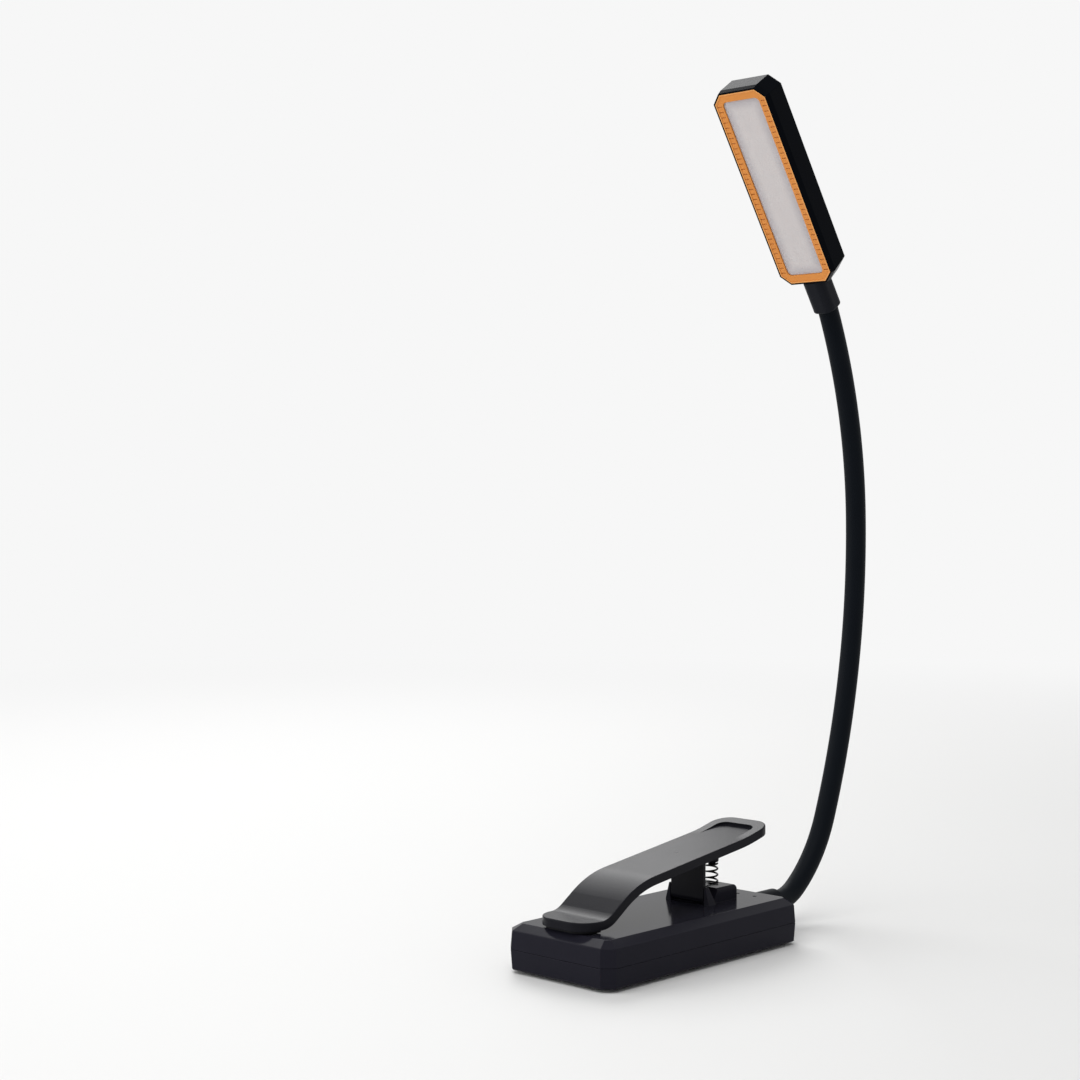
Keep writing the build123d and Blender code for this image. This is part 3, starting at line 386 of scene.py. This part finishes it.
@dataclass(frozen=True)
class MouldedGrain(Pattern):
    """The grain of moulded plastic: fine pits in Height and slow clouds in Mottle."""

    name: str = "moulded grain"
    pit_share: float = 0.5
    fine_detail: float = 3.0
    cloud_scale: float = 70.0
    cloud_detail: float = 4.0

    def build(self) -> None:
        """Builds the group: Height is pit_share times the pits, plus a fine noise."""
        group, start, end = new_group(self.name, ("Grain Scale",), ("Height", "Mottle"))
        place, scale = object_place(group), start.outputs["Grain Scale"]
        pits = add(group, "TexVoronoi", {"Vector": place, "Scale": scale}, feature="SMOOTH_F1")
        fine = add(group, "TexNoise", {
            "Vector": place, "Scale": scale, "Detail": self.fine_detail})
        cloud = add(group, "TexNoise", {
            "Vector": place, "Scale": self.cloud_scale, "Detail": self.cloud_detail})
        height = combine(group, "MULTIPLY_ADD", pits.outputs["Distance"], self.pit_share,
                         fine.outputs["Fac"])
        feed(group, end.inputs["Height"], height)
        feed(group, end.inputs["Mottle"], cloud.outputs["Fac"])


@dataclass(frozen=True)
class HandlingMarks(Pattern):
    """The marks of handling: sparse smudges and short hairline rubs in Smudge."""

    name: str = "handling marks"
    scale: float = 45.0
    smudge_detail: float = 6.0
    smudge_distortion: float = 0.6
    smudge_limits: tuple[float, float] = (0.5, 0.78)
    rub_stretch: Triple = (1.0, 9.0, 3.0)
    rub_detail: float = 8.0
    rub_roughness: float = 0.7

    def build(self) -> None:
        """Builds the group: Smudge is the smudges between their limits, times rubs and Amount."""
        group, start, end = new_group(self.name, ("Amount",), ("Smudge",))
        place = object_place(group)
        smudge = add(group, "TexNoise", {
            "Vector": place, "Scale": self.scale, "Detail": self.smudge_detail,
            "Distortion": self.smudge_distortion})
        limit = add(group, "MapRange", {
            "Value": smudge.outputs["Fac"], "From Min": self.smudge_limits[0],
            "From Max": self.smudge_limits[1]})
        stretch = add(group, "Mapping", {"Vector": place, "Scale": self.rub_stretch})
        rubs = add(group, "TexNoise", {
            "Vector": stretch.outputs["Vector"], "Scale": self.scale, "Detail": self.rub_detail,
            "Roughness": self.rub_roughness})
        marks = combine(group, "MULTIPLY", limit.outputs["Result"], rubs.outputs["Fac"])
        amount = combine(group, "MULTIPLY", marks, start.outputs["Amount"])
        feed(group, end.inputs["Smudge"], amount)


# Finishes

@dataclass(frozen=True)
class Finish:
    """A moulded or painted finish that clouds slightly, with a fine grain and faint marks.

    The base colour runs from colour to cloud_colour by the grain's mottle. The roughness runs
    over spread, with roughness in its middle, by the same mottle, and smudges add to it. The
    grain's height bends the normal by grain_depth, and edges look rounded over edge_radius
    millimetres.
    """

    name: str
    colour: Colour
    cloud_colour: Colour
    roughness: float = 0.45
    spread: float = 0.1
    grain_scale: float = 2600.0
    grain_depth: float = 0.12
    ior: float = 1.45
    metallic: float = 0.0
    sheen: float = 0.0
    smudges: float = 0.06
    edge_radius: float = 0.15

    def build(self) -> bpy.types.Material:
        """Builds the material once.

        Returns:
            The material.
        """
        if self.name in bpy.data.materials:
            return bpy.data.materials[self.name]
        material = bpy.data.materials.new(self.name)
        material.use_nodes = True
        material.diffuse_color = (*self.colour, 1.0)
        tree = material.node_tree
        grain = MouldedGrain().place(tree, {"Grain Scale": self.grain_scale}).outputs
        marks = HandlingMarks().place(tree, {"Amount": self.smudges}).outputs
        surface = tree.nodes["Principled BSDF"]
        for label, source in {
            "Base Color": mix_colours(tree, grain["Mottle"], self.colour, self.cloud_colour),
            "Roughness": self.worn_roughness(tree, grain["Mottle"], marks["Smudge"]),
            "Normal": self.grained_normal(tree, grain["Height"]),
            "IOR": self.ior,
            "Metallic": self.metallic,
            "Sheen Weight": self.sheen,
        }.items():
            feed(tree, surface.inputs[label], source)
        self.refine(tree, surface)
        return material

    def worn_roughness(self, tree: Tree, mottle: Socket, smudge: Socket) -> Socket:
        """Adds spread times mottle and the smudges to the lowest roughness.

        Args:
            tree: the material's nodes.
            mottle: the grain's clouds, from 0 to 1.
            smudge: the marks of handling.

        Returns:
            The roughness.
        """
        lowest = self.roughness - self.spread / 2
        mottled = combine(tree, "MULTIPLY_ADD", mottle, self.spread, lowest)
        return combine(tree, "ADD", mottled, smudge)

    def grained_normal(self, tree: Tree, height: Socket) -> Socket:
        """Bends the normal by the grain's height, over softened edges.

        Args:
            tree: the material's nodes.
            height: the grain's height.

        Returns:
            The normal.
        """
        inputs = {"Strength": self.grain_depth, "Distance": GRAIN_HEIGHT * MM, "Height": height}
        if self.edge_radius > 0:
            edge = add(tree, "Bevel", {"Radius": self.edge_radius * MM}, samples=EDGE_SAMPLES)
            inputs["Normal"] = edge.outputs["Normal"]
        return add(tree, "Bump", inputs).outputs["Normal"]

    def refine(self, tree: Tree, surface: Node) -> None:
        """Leaves room for what only one kind of finish has."""


@dataclass(frozen=True)
class BrushedMetal(Finish):
    """A metal whose roughness follows fine lines, by line_spread to either side."""

    line_scale: Triple = (60.0, 3000.0, 60.0)
    line_spread: float = 0.25

    def refine(self, tree: Tree, surface: Node) -> None:
        """Replaces the roughness by fine lines, a noise that line_scale stretches.

        Args:
            tree: the material's nodes.
            surface: the material's surface node.
        """
        stretch = add(tree, "Mapping", {"Vector": object_place(tree), "Scale": self.line_scale})
        lines = add(tree, "TexNoise", {"Vector": stretch.outputs["Vector"], "Scale": 1.0})
        limit = add(tree, "MapRange", {
            "Value": lines.outputs["Fac"], "To Min": self.roughness * (1 - self.line_spread),
            "To Max": self.roughness * (1 + self.line_spread)})
        feed(tree, surface.inputs["Roughness"], limit.outputs["Result"])


@dataclass(frozen=True)
class FrostedWindow(Finish):
    """A frosted window: light passes a little way in, and painted shade greys it towards its edge.

    Light scatters over scatter_reach times each colour's share, and scatter says how much of it.
    The painted shade begins at shade_reach from the edge of a window of the two half sizes.
    """

    scatter: float = 0.35
    scatter_reach: float = 0.9
    scatter_shares: Triple = (1.0, 0.85, 0.8)
    # painted shade: the window's colour darkens towards its edge
    edge_shade_colour: Colour = (0.49, 0.46, 0.475)
    shade_reach: float = 3.6
    half_width: float = 6.7
    half_length: float = 31.0

    def refine(self, tree: Tree, surface: Node) -> None:
        """Sets the scattering, and mixes in the painted edge shade by the distance to the edge.

        Args:
            tree: the material's nodes.
            surface: the material's surface node.
        """
        place = object_place(tree)
        nearest = combine(
            tree, "MINIMUM",
            self.inside(tree, along(tree, place, ACROSS), 0.0, self.half_width),
            self.inside(tree, along(tree, place, HEAD.up), HEAD.middle_level, self.half_length))
        # painted shade: grows from shade_reach inside the edge out to the edge
        fade = add(tree, "MapRange", {"Value": nearest, "From Max": self.shade_reach * MM},
                   interpolation_type="SMOOTHSTEP")
        middle = surface.inputs["Base Color"].links[0].from_socket
        for label, source in {
            "Base Color": mix_colours(tree, fade.outputs["Result"], self.edge_shade_colour, middle),
            "Subsurface Weight": self.scatter,
            "Subsurface Scale": self.scatter_reach * MM,
            "Subsurface Radius": self.scatter_shares,
        }.items():
            feed(tree, surface.inputs[label], source)

    def inside(self, tree: Tree, distance: Socket, middle: float, half: float) -> Socket:
        """Works out how far a place lies inside two opposite edges.

        Args:
            tree: the material's nodes.
            distance: the place along the axis across both edges, in metres.
            middle: the window's middle on that axis, in millimetres.
            half: half the distance between the edges, in millimetres.

        Returns:
            Half less the distance from the middle, in metres.
        """
        away = combine(tree, "ABSOLUTE", combine(tree, "SUBTRACT", distance, middle * MM))
        return combine(tree, "SUBTRACT", half * MM, away)


@dataclass(frozen=True)
class RingFinish(Finish):
    """The amber ring's finish: painted highlight on the lip, painted shade in the tick grooves.

    Depth is the distance behind the lit face, found from the object's own coordinates: out, the
    direction in which the head shines, times the place, against its value on the lit face. The
    painted shade in the grooves lies only beside the window, past window_half, so that the
    window's edge keeps the ring's own colour.
    """

    # painted highlight on the lip, painted shade in the tick grooves
    lip_highlight_colour: Colour = (0.80, 0.34, 0.08)
    groove_shade_colour: Colour = (0.52, 0.165, 0.02)
    lip_depth: float = 0.1
    groove_depth: float = 0.25
    softness: float = 0.06
    window_half: float = 7.4

    def refine(self, tree: Tree, surface: Node) -> None:
        """Mixes the lip's painted highlight and the grooves' painted shade over the ring's colour
        by depth.

        Args:
            tree: the material's nodes.
            surface: the material's surface node.
        """
        place = object_place(tree)
        forward = along(tree, place, HEAD.out)
        aside = combine(tree, "ABSOLUTE", along(tree, place, ACROSS))
        # painted highlight on the lip, painted shade in the grooves beside the window
        lip_highlight = self.step(tree, forward, HEAD.lit_level - self.lip_depth, rising=True)
        deep = self.step(tree, forward, HEAD.lit_level - self.groove_depth, rising=False)
        beside = self.step(tree, aside, self.window_half, rising=True)
        groove_shade = combine(tree, "MULTIPLY", deep, beside)
        colour = surface.inputs["Base Color"].links[0].from_socket
        # paints the lip's highlight and the grooves' shade into the base colour
        for painted_light_colour, mask in ((self.lip_highlight_colour, lip_highlight), (self.groove_shade_colour, groove_shade)):
            colour = mix_colours(tree, mask, colour, painted_light_colour)
        feed(tree, surface.inputs["Base Color"], colour)

    def step(self, tree: Tree, value: Socket, level: float, rising: bool) -> Socket:
        """Makes a soft step at a level.

        Args:
            tree: the material's nodes.
            value: the distance to test, in metres.
            level: where the step lies, in millimetres.
            rising: whether the step is 1 past the level or 1 before it.

        Returns:
            A mask from 0 to 1.
        """
        return add(tree, "MapRange", {
            "Value": value,
            "From Min": (level - self.softness / 2) * MM,
            "From Max": (level + self.softness / 2) * MM,
            "To Min": 0.0 if rising else 1.0,
            "To Max": 1.0 if rising else 0.0,
        }).outputs["Result"]


class Finishes(Enum):
    """The lamp's finishes by name."""

    SHELL = Finish(
        "glossy black shell", (0.0118, 0.0115, 0.0175), (0.015, 0.0145, 0.0215),
        roughness=0.14, spread=0.05, ior=1.13, grain_depth=0.05)
    HEAD_SHELL = Finish(
        "satin black head", (0.0008, 0.0014, 0.0029), (0.0018, 0.0024, 0.0042),
        roughness=0.24, spread=0.05, ior=1.075, grain_depth=0.04)
    COLLAR = Finish(
        "satin black collar", (0.007, 0.008, 0.011), (0.011, 0.012, 0.016),
        roughness=0.42, spread=0.06, ior=1.15)
    LEVER = Finish(
        "satin black lever", (0.006, 0.006, 0.009), (0.009, 0.009, 0.012),
        roughness=0.26, spread=0.06, ior=1.155, smudges=0.03)
    SLEEVE = Finish(
        "black silicone", (0.002, 0.0034, 0.0055), (0.004, 0.0056, 0.0085),
        roughness=0.5, grain_scale=1800.0, sheen=0.02, edge_radius=0.0, ior=1.13)
    RUBBER = Finish(
        "dull black rubber", (0.006, 0.006, 0.007), (0.012, 0.012, 0.013),
        roughness=0.75, spread=0.12, grain_depth=0.3, ior=1.2)
    # the ring has a painted highlight on its lip and painted shade in its grooves
    AMBER = RingFinish(
        "satin amber", (0.68, 0.235, 0.03), (0.72, 0.26, 0.037),
        roughness=0.42, spread=0.06, grain_depth=0.03, edge_radius=0.03)
    # the window has painted shade towards its edge
    WINDOW = FrostedWindow(
        "frosted window", (0.61, 0.57, 0.567), (0.63, 0.59, 0.585),
        roughness=0.5, spread=0.05, grain_depth=0.02, smudges=0.02, edge_radius=0.03)
    SPRING = BrushedMetal(
        "dark spring steel", (0.012, 0.012, 0.012), (0.009, 0.009, 0.009),
        roughness=0.3, metallic=0.8, grain_depth=0.04, edge_radius=0.0)
    PIN = BrushedMetal(
        "blackened pin", (0.04, 0.04, 0.042), (0.03, 0.03, 0.031),
        roughness=0.35, metallic=1.0, grain_depth=0.04, edge_radius=0.05)
    STEEL = BrushedMetal(
        "bright steel", (0.62, 0.62, 0.63), (0.56, 0.56, 0.57),
        roughness=0.25, metallic=1.0, grain_depth=0.04, edge_radius=0.05)
    CORE = BrushedMetal(
        "plain steel core", (0.5, 0.5, 0.51), (0.43, 0.43, 0.44),
        roughness=0.38, metallic=1.0, grain_depth=0.1, edge_radius=0.05)
    BRASS = BrushedMetal(
        "plain brass", (0.72, 0.5, 0.2), (0.62, 0.42, 0.16),
        roughness=0.3, metallic=1.0, edge_radius=0.05)
    WIRE = Finish(
        "red wire jacket", (0.42, 0.03, 0.025), (0.5, 0.05, 0.04),
        roughness=0.42, spread=0.08, edge_radius=0.0)
    CELL = Finish(
        "silver cell wrap", (0.42, 0.45, 0.5), (0.5, 0.53, 0.57),
        roughness=0.28, grain_scale=300.0)
    TAPE = Finish(
        "white foam tape", (0.75, 0.75, 0.72), (0.68, 0.68, 0.65),
        roughness=0.85, grain_depth=0.5)
    BOARD = Finish(
        "green solder mask", (0.02, 0.13, 0.055), (0.03, 0.17, 0.07),
        roughness=0.3, grain_scale=500.0)
    WHITE_BOARD = Finish(
        "white solder mask", (0.75, 0.75, 0.75), (0.7, 0.7, 0.69), roughness=0.4)
    CHIP = Finish(
        "matt black package", (0.015, 0.015, 0.016), (0.025, 0.025, 0.026), roughness=0.6)
    PHOSPHOR = Finish(
        "yellow phosphor", (0.8, 0.6, 0.12), (0.75, 0.52, 0.08), roughness=0.5)
    PIPE = Finish(
        "clear light pipe", (0.3, 0.32, 0.34), (0.36, 0.38, 0.4),
        roughness=0.12, spread=0.04, ior=1.49)
    WHITE = Finish(
        "white moulding", (0.75, 0.75, 0.74), (0.7, 0.7, 0.69), roughness=0.45)

    def material(self) -> bpy.types.Material:
        """Returns this finish's material."""
        return self.value.build()


NODE_FINISHES: dict[str, Finishes] = {
    "base_upper_shell": Finishes.SHELL,
    "base_lower_shell": Finishes.SHELL,
    "foot_pad": Finishes.RUBBER,
    "base_screws": Finishes.STEEL,
    "battery_cell": Finishes.CELL,
    "battery_tape": Finishes.TAPE,
    "main_board": Finishes.BOARD,
    "board_components": Finishes.CHIP,
    "usb_socket": Finishes.STEEL,
    "indicator_pipes": Finishes.PIPE,
    "hinge_pin": Finishes.PIN,
    "clip_spring": Finishes.SPRING,
    "clip_lever": Finishes.LEVER,
    "jaw_pad": Finishes.RUBBER,
    "neck_root_collar": Finishes.SLEEVE,
    "neck_root_ferrule": Finishes.CORE,
    "neck_root_nut": Finishes.BRASS,
    "neck_head_ferrule": Finishes.CORE,
    "head_collar": Finishes.COLLAR,
    "head_housing": Finishes.HEAD_SHELL,
    "amber_ring": Finishes.AMBER,
    "diffuser": Finishes.WINDOW,
    "led_frame": Finishes.WHITE,
    "led_board": Finishes.WHITE_BOARD,
    "led_chips": Finishes.PHOSPHOR,
    "switch_case": Finishes.CHIP,
    "switch_plunger": Finishes.WHITE,
    "head_button": Finishes.LEVER,
    "root_leads": Finishes.WIRE,
    "head_leads": Finishes.WIRE,
}
NODE_FAMILIES: dict[str, Finishes] = {
    "neck_core_": Finishes.CORE,
    "neck_sleeve_": Finishes.SLEEVE,
    "neck_leads_": Finishes.WIRE,
}


def dress_nodes(nodes: dict[str, bpy.types.Object]) -> None:
    """Gives every carried-over node its finish, by its family's first words or its own name.

    Args:
        nodes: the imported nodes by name.
    """
    for name, node in nodes.items():
        families = (finish for start, finish in NODE_FAMILIES.items() if name.startswith(start))
        finish = next(families, None) or NODE_FINISHES[name]
        node.data.materials.clear()
        node.data.materials.append(finish.material())
        log.info("%s: %s", name, finish.value.name)


# The gooseneck

@dataclass
class Gooseneck:
    """The gooseneck's silicone sleeve, one tube in pieces that each span one joint.

    The build works out where each joint's bend would end, bend_reach to either side of it but
    only root_reach inside the base and head_reach inside the head, and doesn't use them. The
    sleeve ends root_inside and head_inside past the first and the last joint.
    """

    path: NeckPath = field(default_factory=NeckPath)
    links: int = 8
    radius: float = 3.38
    wall: float = 0.76
    sides: int = 48
    spacing: float = 0.7
    bend_reach: float = 12.5
    root_reach: float = 0.5
    head_reach: float = 0.9
    root_inside: float = 2.0
    head_inside: float = 1.8
    bent_from_head: tuple[int, ...] = (4,)

    def tube(self, start: float, end: float) -> Shape:
        """Makes a thick tube along the path.

        Ring k is the path's point plus radius times (cos a) across Y and (sin a) along the path's
        normal, out along the outer radius and back along the inner one.

        Args:
            start: where it starts, as a distance along the path.
            end: where it ends.

        Returns:
            The tube's closed surface.
        """
        points, heading = self.path.at(np.linspace(start, end, round((end - start) / self.spacing)))
        normal = np.stack([-np.sin(heading), np.zeros_like(heading), np.cos(heading)], axis=-1)
        angle = np.linspace(0, 2 * math.pi, self.sides, endpoint=False)[None, :, None]
        outward = np.cos(angle) * np.array(ACROSS) + np.sin(angle) * normal[:, None, :]
        outer = points[:, None, :] + self.radius * outward
        inner = points[:, None, :] + (self.radius - self.wall) * outward
        return skin(np.concatenate([outer, inner[::-1]]), closed=True)

    def build(self) -> None:
        """Builds one sleeve piece for each joint, from mid-link to mid-link.

        The bodies on both sides of each joint and the ends of its bend are worked out, in the other
        order for a piece in bent_from_head, but nothing uses them.
        """
        link = self.path.length / self.links
        bodies = ["base"] + [f"link_{number}" for number in range(1, self.links + 1)] + ["head"]
        for joint in range(self.links + 1):
            first, last = joint == 0, joint == self.links
            start = -self.root_inside if first else (joint - 0.5) * link
            end = self.path.length + self.head_inside if last else (joint + 0.5) * link
            piece = make_piece(f"sleeve_{joint + 1}", self.tube(start, end),
                               Finishes.SLEEVE.material())
            before = self.root_reach if first else self.bend_reach
            after = self.head_reach if last else self.bend_reach
            ends, _ = self.path.at(np.array([joint * link - before, joint * link + after]))
            near, far = (bodies[joint], ends[0] * MM), (bodies[joint + 1], ends[1] * MM)
            if joint in self.bent_from_head:
                near, far = far, near
            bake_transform(piece)
            if not last:
                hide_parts(f"neck_sleeve_{joint + 1}")


# The clip's spring

@dataclass
class ClipSpring:
    """The compression spring behind the hinge plate, with closed coils at both ends.
    """

    x: float = 26.7
    low: float = 17.65
    high: float = 25.4
    radius: float = 1.75
    wire: float = 0.3
    turns: float = 3.1
    closed_turns: float = 0.4
    start_turn: float = 0.916
    steps_per_turn: int = 36
    sides: int = 12
    blend_margin: float = 1.0

    def coil(self) -> Shape:
        """Makes the wire's surface.

        Along the wire the height rises by the wire's thickness over the closed turns at each end
        and evenly between them. The wire's section is a circle across the helix's direction.

        Returns:
            The wire's closed surface.
        """
        total = self.turns + 2 * self.closed_turns
        turn = np.linspace(0, total, round(total * self.steps_per_turn))
        thickness = 2 * self.wire
        bottom, top = self.low + self.wire, self.high - self.wire
        height = np.interp(turn, [0, self.closed_turns, total - self.closed_turns, total],
                           [bottom, bottom + thickness, top - thickness, top])
        angle = 2 * math.pi * (turn + self.start_turn)
        outward = np.stack([np.cos(angle), np.sin(angle), np.zeros_like(angle)], axis=-1)
        axis = np.stack([np.full_like(height, self.x), np.zeros_like(height), height], axis=-1)
        centre = axis + self.radius * outward
        direction = np.gradient(centre, axis=0)
        direction /= np.linalg.norm(direction, axis=1, keepdims=True)
        upward = np.cross(direction, outward)
        ring = np.linspace(0, 2 * math.pi, self.sides, endpoint=False)[None, :, None]
        section = np.cos(ring) * outward[:, None] + np.sin(ring) * upward[:, None]
        return skin(centre[:, None] + self.wire * section)

    def build(self) -> None:
        """Builds the spring in place of the imported one."""
        piece = make_piece("coil_spring", self.coil(), Finishes.SPRING.material())
        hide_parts("clip_spring")
        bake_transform(piece)


# Camera, floor and light

@dataclass(frozen=True)
class Lamp:
    """A square area lamp that faces a point and doesn't show itself.

    Its place, its target and its side are in metres and its power in watts.
    """

    name: str
    place: Triple
    target: Triple
    side: float
    power: float

    def build(self) -> None:
        """Adds the lamp to the scene."""
        data = bpy.data.lights.new(self.name, "AREA")
        data.size = self.side
        data.energy = self.power
        lamp = add_object(self.name, data)
        lamp.location = self.place
        lamp.visible_camera = False
        heading = Vector(self.target) - Vector(self.place)
        lamp.rotation_euler = heading.to_track_quat("-Z", "Y").to_euler()


@dataclass
class Studio:
    """A plain pale floor, soft light and the camera at the photograph's place.

    The camera's place and sensor and the floor's drop below the foot are in millimetres. The
    camera's clip distances, the floor's side and the distances over which it fades into the
    background are in metres.
    """

    camera_place: Triple = (-465.65, -395.19, 142.95)
    camera_yaw: float = -46.35
    camera_pitch: float = -1.51
    camera_clip: tuple[float, float] = (0.01, 50.0)
    focal_pixels: float = 2016.1
    frame_pixels: float = 1080.0
    sensor: float = 36.0
    floor_colour: Colour = (0.77, 0.77, 0.765)
    floor_roughness: float = 0.65
    floor_side: float = 8.0
    floor_drop: float = 0.02
    floor_fade: tuple[float, float] = (0.25, 1.1)
    background: float = 0.93
    fill: float = 0.47
    lamps: tuple[Lamp, ...] = (
        Lamp("key", (-0.45, -0.1, 1.0), (0.0, 0.0, 0.1), 0.9, 5.2),
        Lamp("front fill", (-0.8, 0.66, 0.3), (0.0, 0.0, 0.08), 0.8, 4.2),
        Lamp("rear window", (0.48, 0.76, 0.75), (0.03, 0.0, 0.1), 0.67, 5.2),
    )

    def build(self) -> None:
        """Builds the camera, the floor, the world and the lamps."""
        self.build_camera()
        self.build_floor()
        self.build_world()
        for lamp in self.lamps:
            lamp.build()

    def build_camera(self) -> None:
        """Points the camera by its yaw and pitch, with the photograph's focal length."""
        yaw, pitch = math.radians(self.camera_yaw), math.radians(self.camera_pitch)
        forward = Vector((-math.sin(yaw) * math.cos(pitch), math.cos(yaw) * math.cos(pitch),
                          math.sin(pitch)))
        data = bpy.data.cameras.new("camera")
        data.sensor_fit = "HORIZONTAL"
        data.sensor_width = self.sensor
        data.lens = self.focal_pixels / self.frame_pixels * self.sensor
        data.clip_start, data.clip_end = self.camera_clip
        camera = add_object("camera", data)
        camera.location = Vector(self.camera_place) * MM
        camera.rotation_euler = forward.to_track_quat("-Z", "Y").to_euler()
        bpy.context.scene.camera = camera

    def build_floor(self) -> None:
        """Lays the floor, a flat square just under the foot."""
        half = self.floor_side / 2
        corners = [(-half, -half, 0), (half, -half, 0), (half, half, 0), (-half, half, 0)]
        mesh = bpy.data.meshes.new("floor")
        mesh.from_pydata(corners, [], [(0, 1, 2, 3)])
        mesh.materials.append(self.floor_material())
        floor = add_object("floor", mesh)
        floor.location.z = -self.floor_drop * MM

    def floor_material(self) -> bpy.types.Material:
        """Makes a pale matt floor that takes the lamp's soft shadow.

        Away from the lamp it fades into the background for the rays that see the background, by
        its distance from the lamp.

        Returns:
            The material.
        """
        material = bpy.data.materials.new("pale floor")
        material.use_nodes = True
        tree = material.node_tree
        surface = tree.nodes["Principled BSDF"]
        feed(tree, surface.inputs["Base Color"], (*self.floor_colour, 1.0))
        feed(tree, surface.inputs["Roughness"], self.floor_roughness)
        shown = add(tree, "Emission", {"Strength": self.background})
        away = add(tree, "VectorMath", {0: object_place(tree)}, operation="LENGTH")
        fade = add(tree, "MapRange", {
            "Value": away.outputs["Value"], "From Min": self.floor_fade[0],
            "From Max": self.floor_fade[1]}, interpolation_type="SMOOTHSTEP")
        factor = combine(tree, "MULTIPLY", fade.outputs["Result"], self.background_rays(tree))
        mix = add(tree, "MixShader", {
            "Fac": factor, 1: surface.outputs["BSDF"], 2: shown.outputs["Emission"]})
        feed(tree, tree.nodes["Material Output"].inputs["Surface"], mix.outputs["Shader"])
        return material

    def build_world(self) -> None:
        """Makes the background white where it is seen, and dimmer as a light."""
        world = bpy.data.worlds.new("studio")
        bpy.context.scene.world = world
        world.use_nodes = True
        tree = world.node_tree
        shown = tree.nodes["Background"]
        feed(tree, shown.inputs["Color"], WHITE)
        feed(tree, shown.inputs["Strength"], self.background)
        light = add(tree, "Background", {"Color": WHITE, "Strength": self.fill})
        mix = add(tree, "MixShader", {
            "Fac": self.background_rays(tree), 1: light.outputs["Background"],
            2: shown.outputs["Background"]})
        feed(tree, tree.nodes["World Output"].inputs["Surface"], mix.outputs["Shader"])

    def background_rays(self, tree: Tree) -> Socket:
        """Tells the rays that see the background from those that light a surface.

        Args:
            tree: the nodes of the floor's material or of the world.

        Returns:
            1 for rays from the camera, off glossy surfaces and through glass, otherwise 0.
        """
        rays = add(tree, "LightPath", {}).outputs
        direct = combine(tree, "MAXIMUM", rays["Is Camera Ray"], rays["Is Glossy Ray"])
        return combine(tree, "MAXIMUM", direct, rays["Is Transmission Ray"])


def main() -> None:
    """Builds the lamp on its frame."""
    logging.basicConfig(level=logging.INFO, format="%(message)s")
    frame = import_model()
    bpy.context.scene.view_settings.view_transform = "Standard"
    dress_nodes(frame["nodes"])
    Gooseneck().build()
    ClipSpring().build()
    Studio().build()


if __name__ == "__main__":
    main()
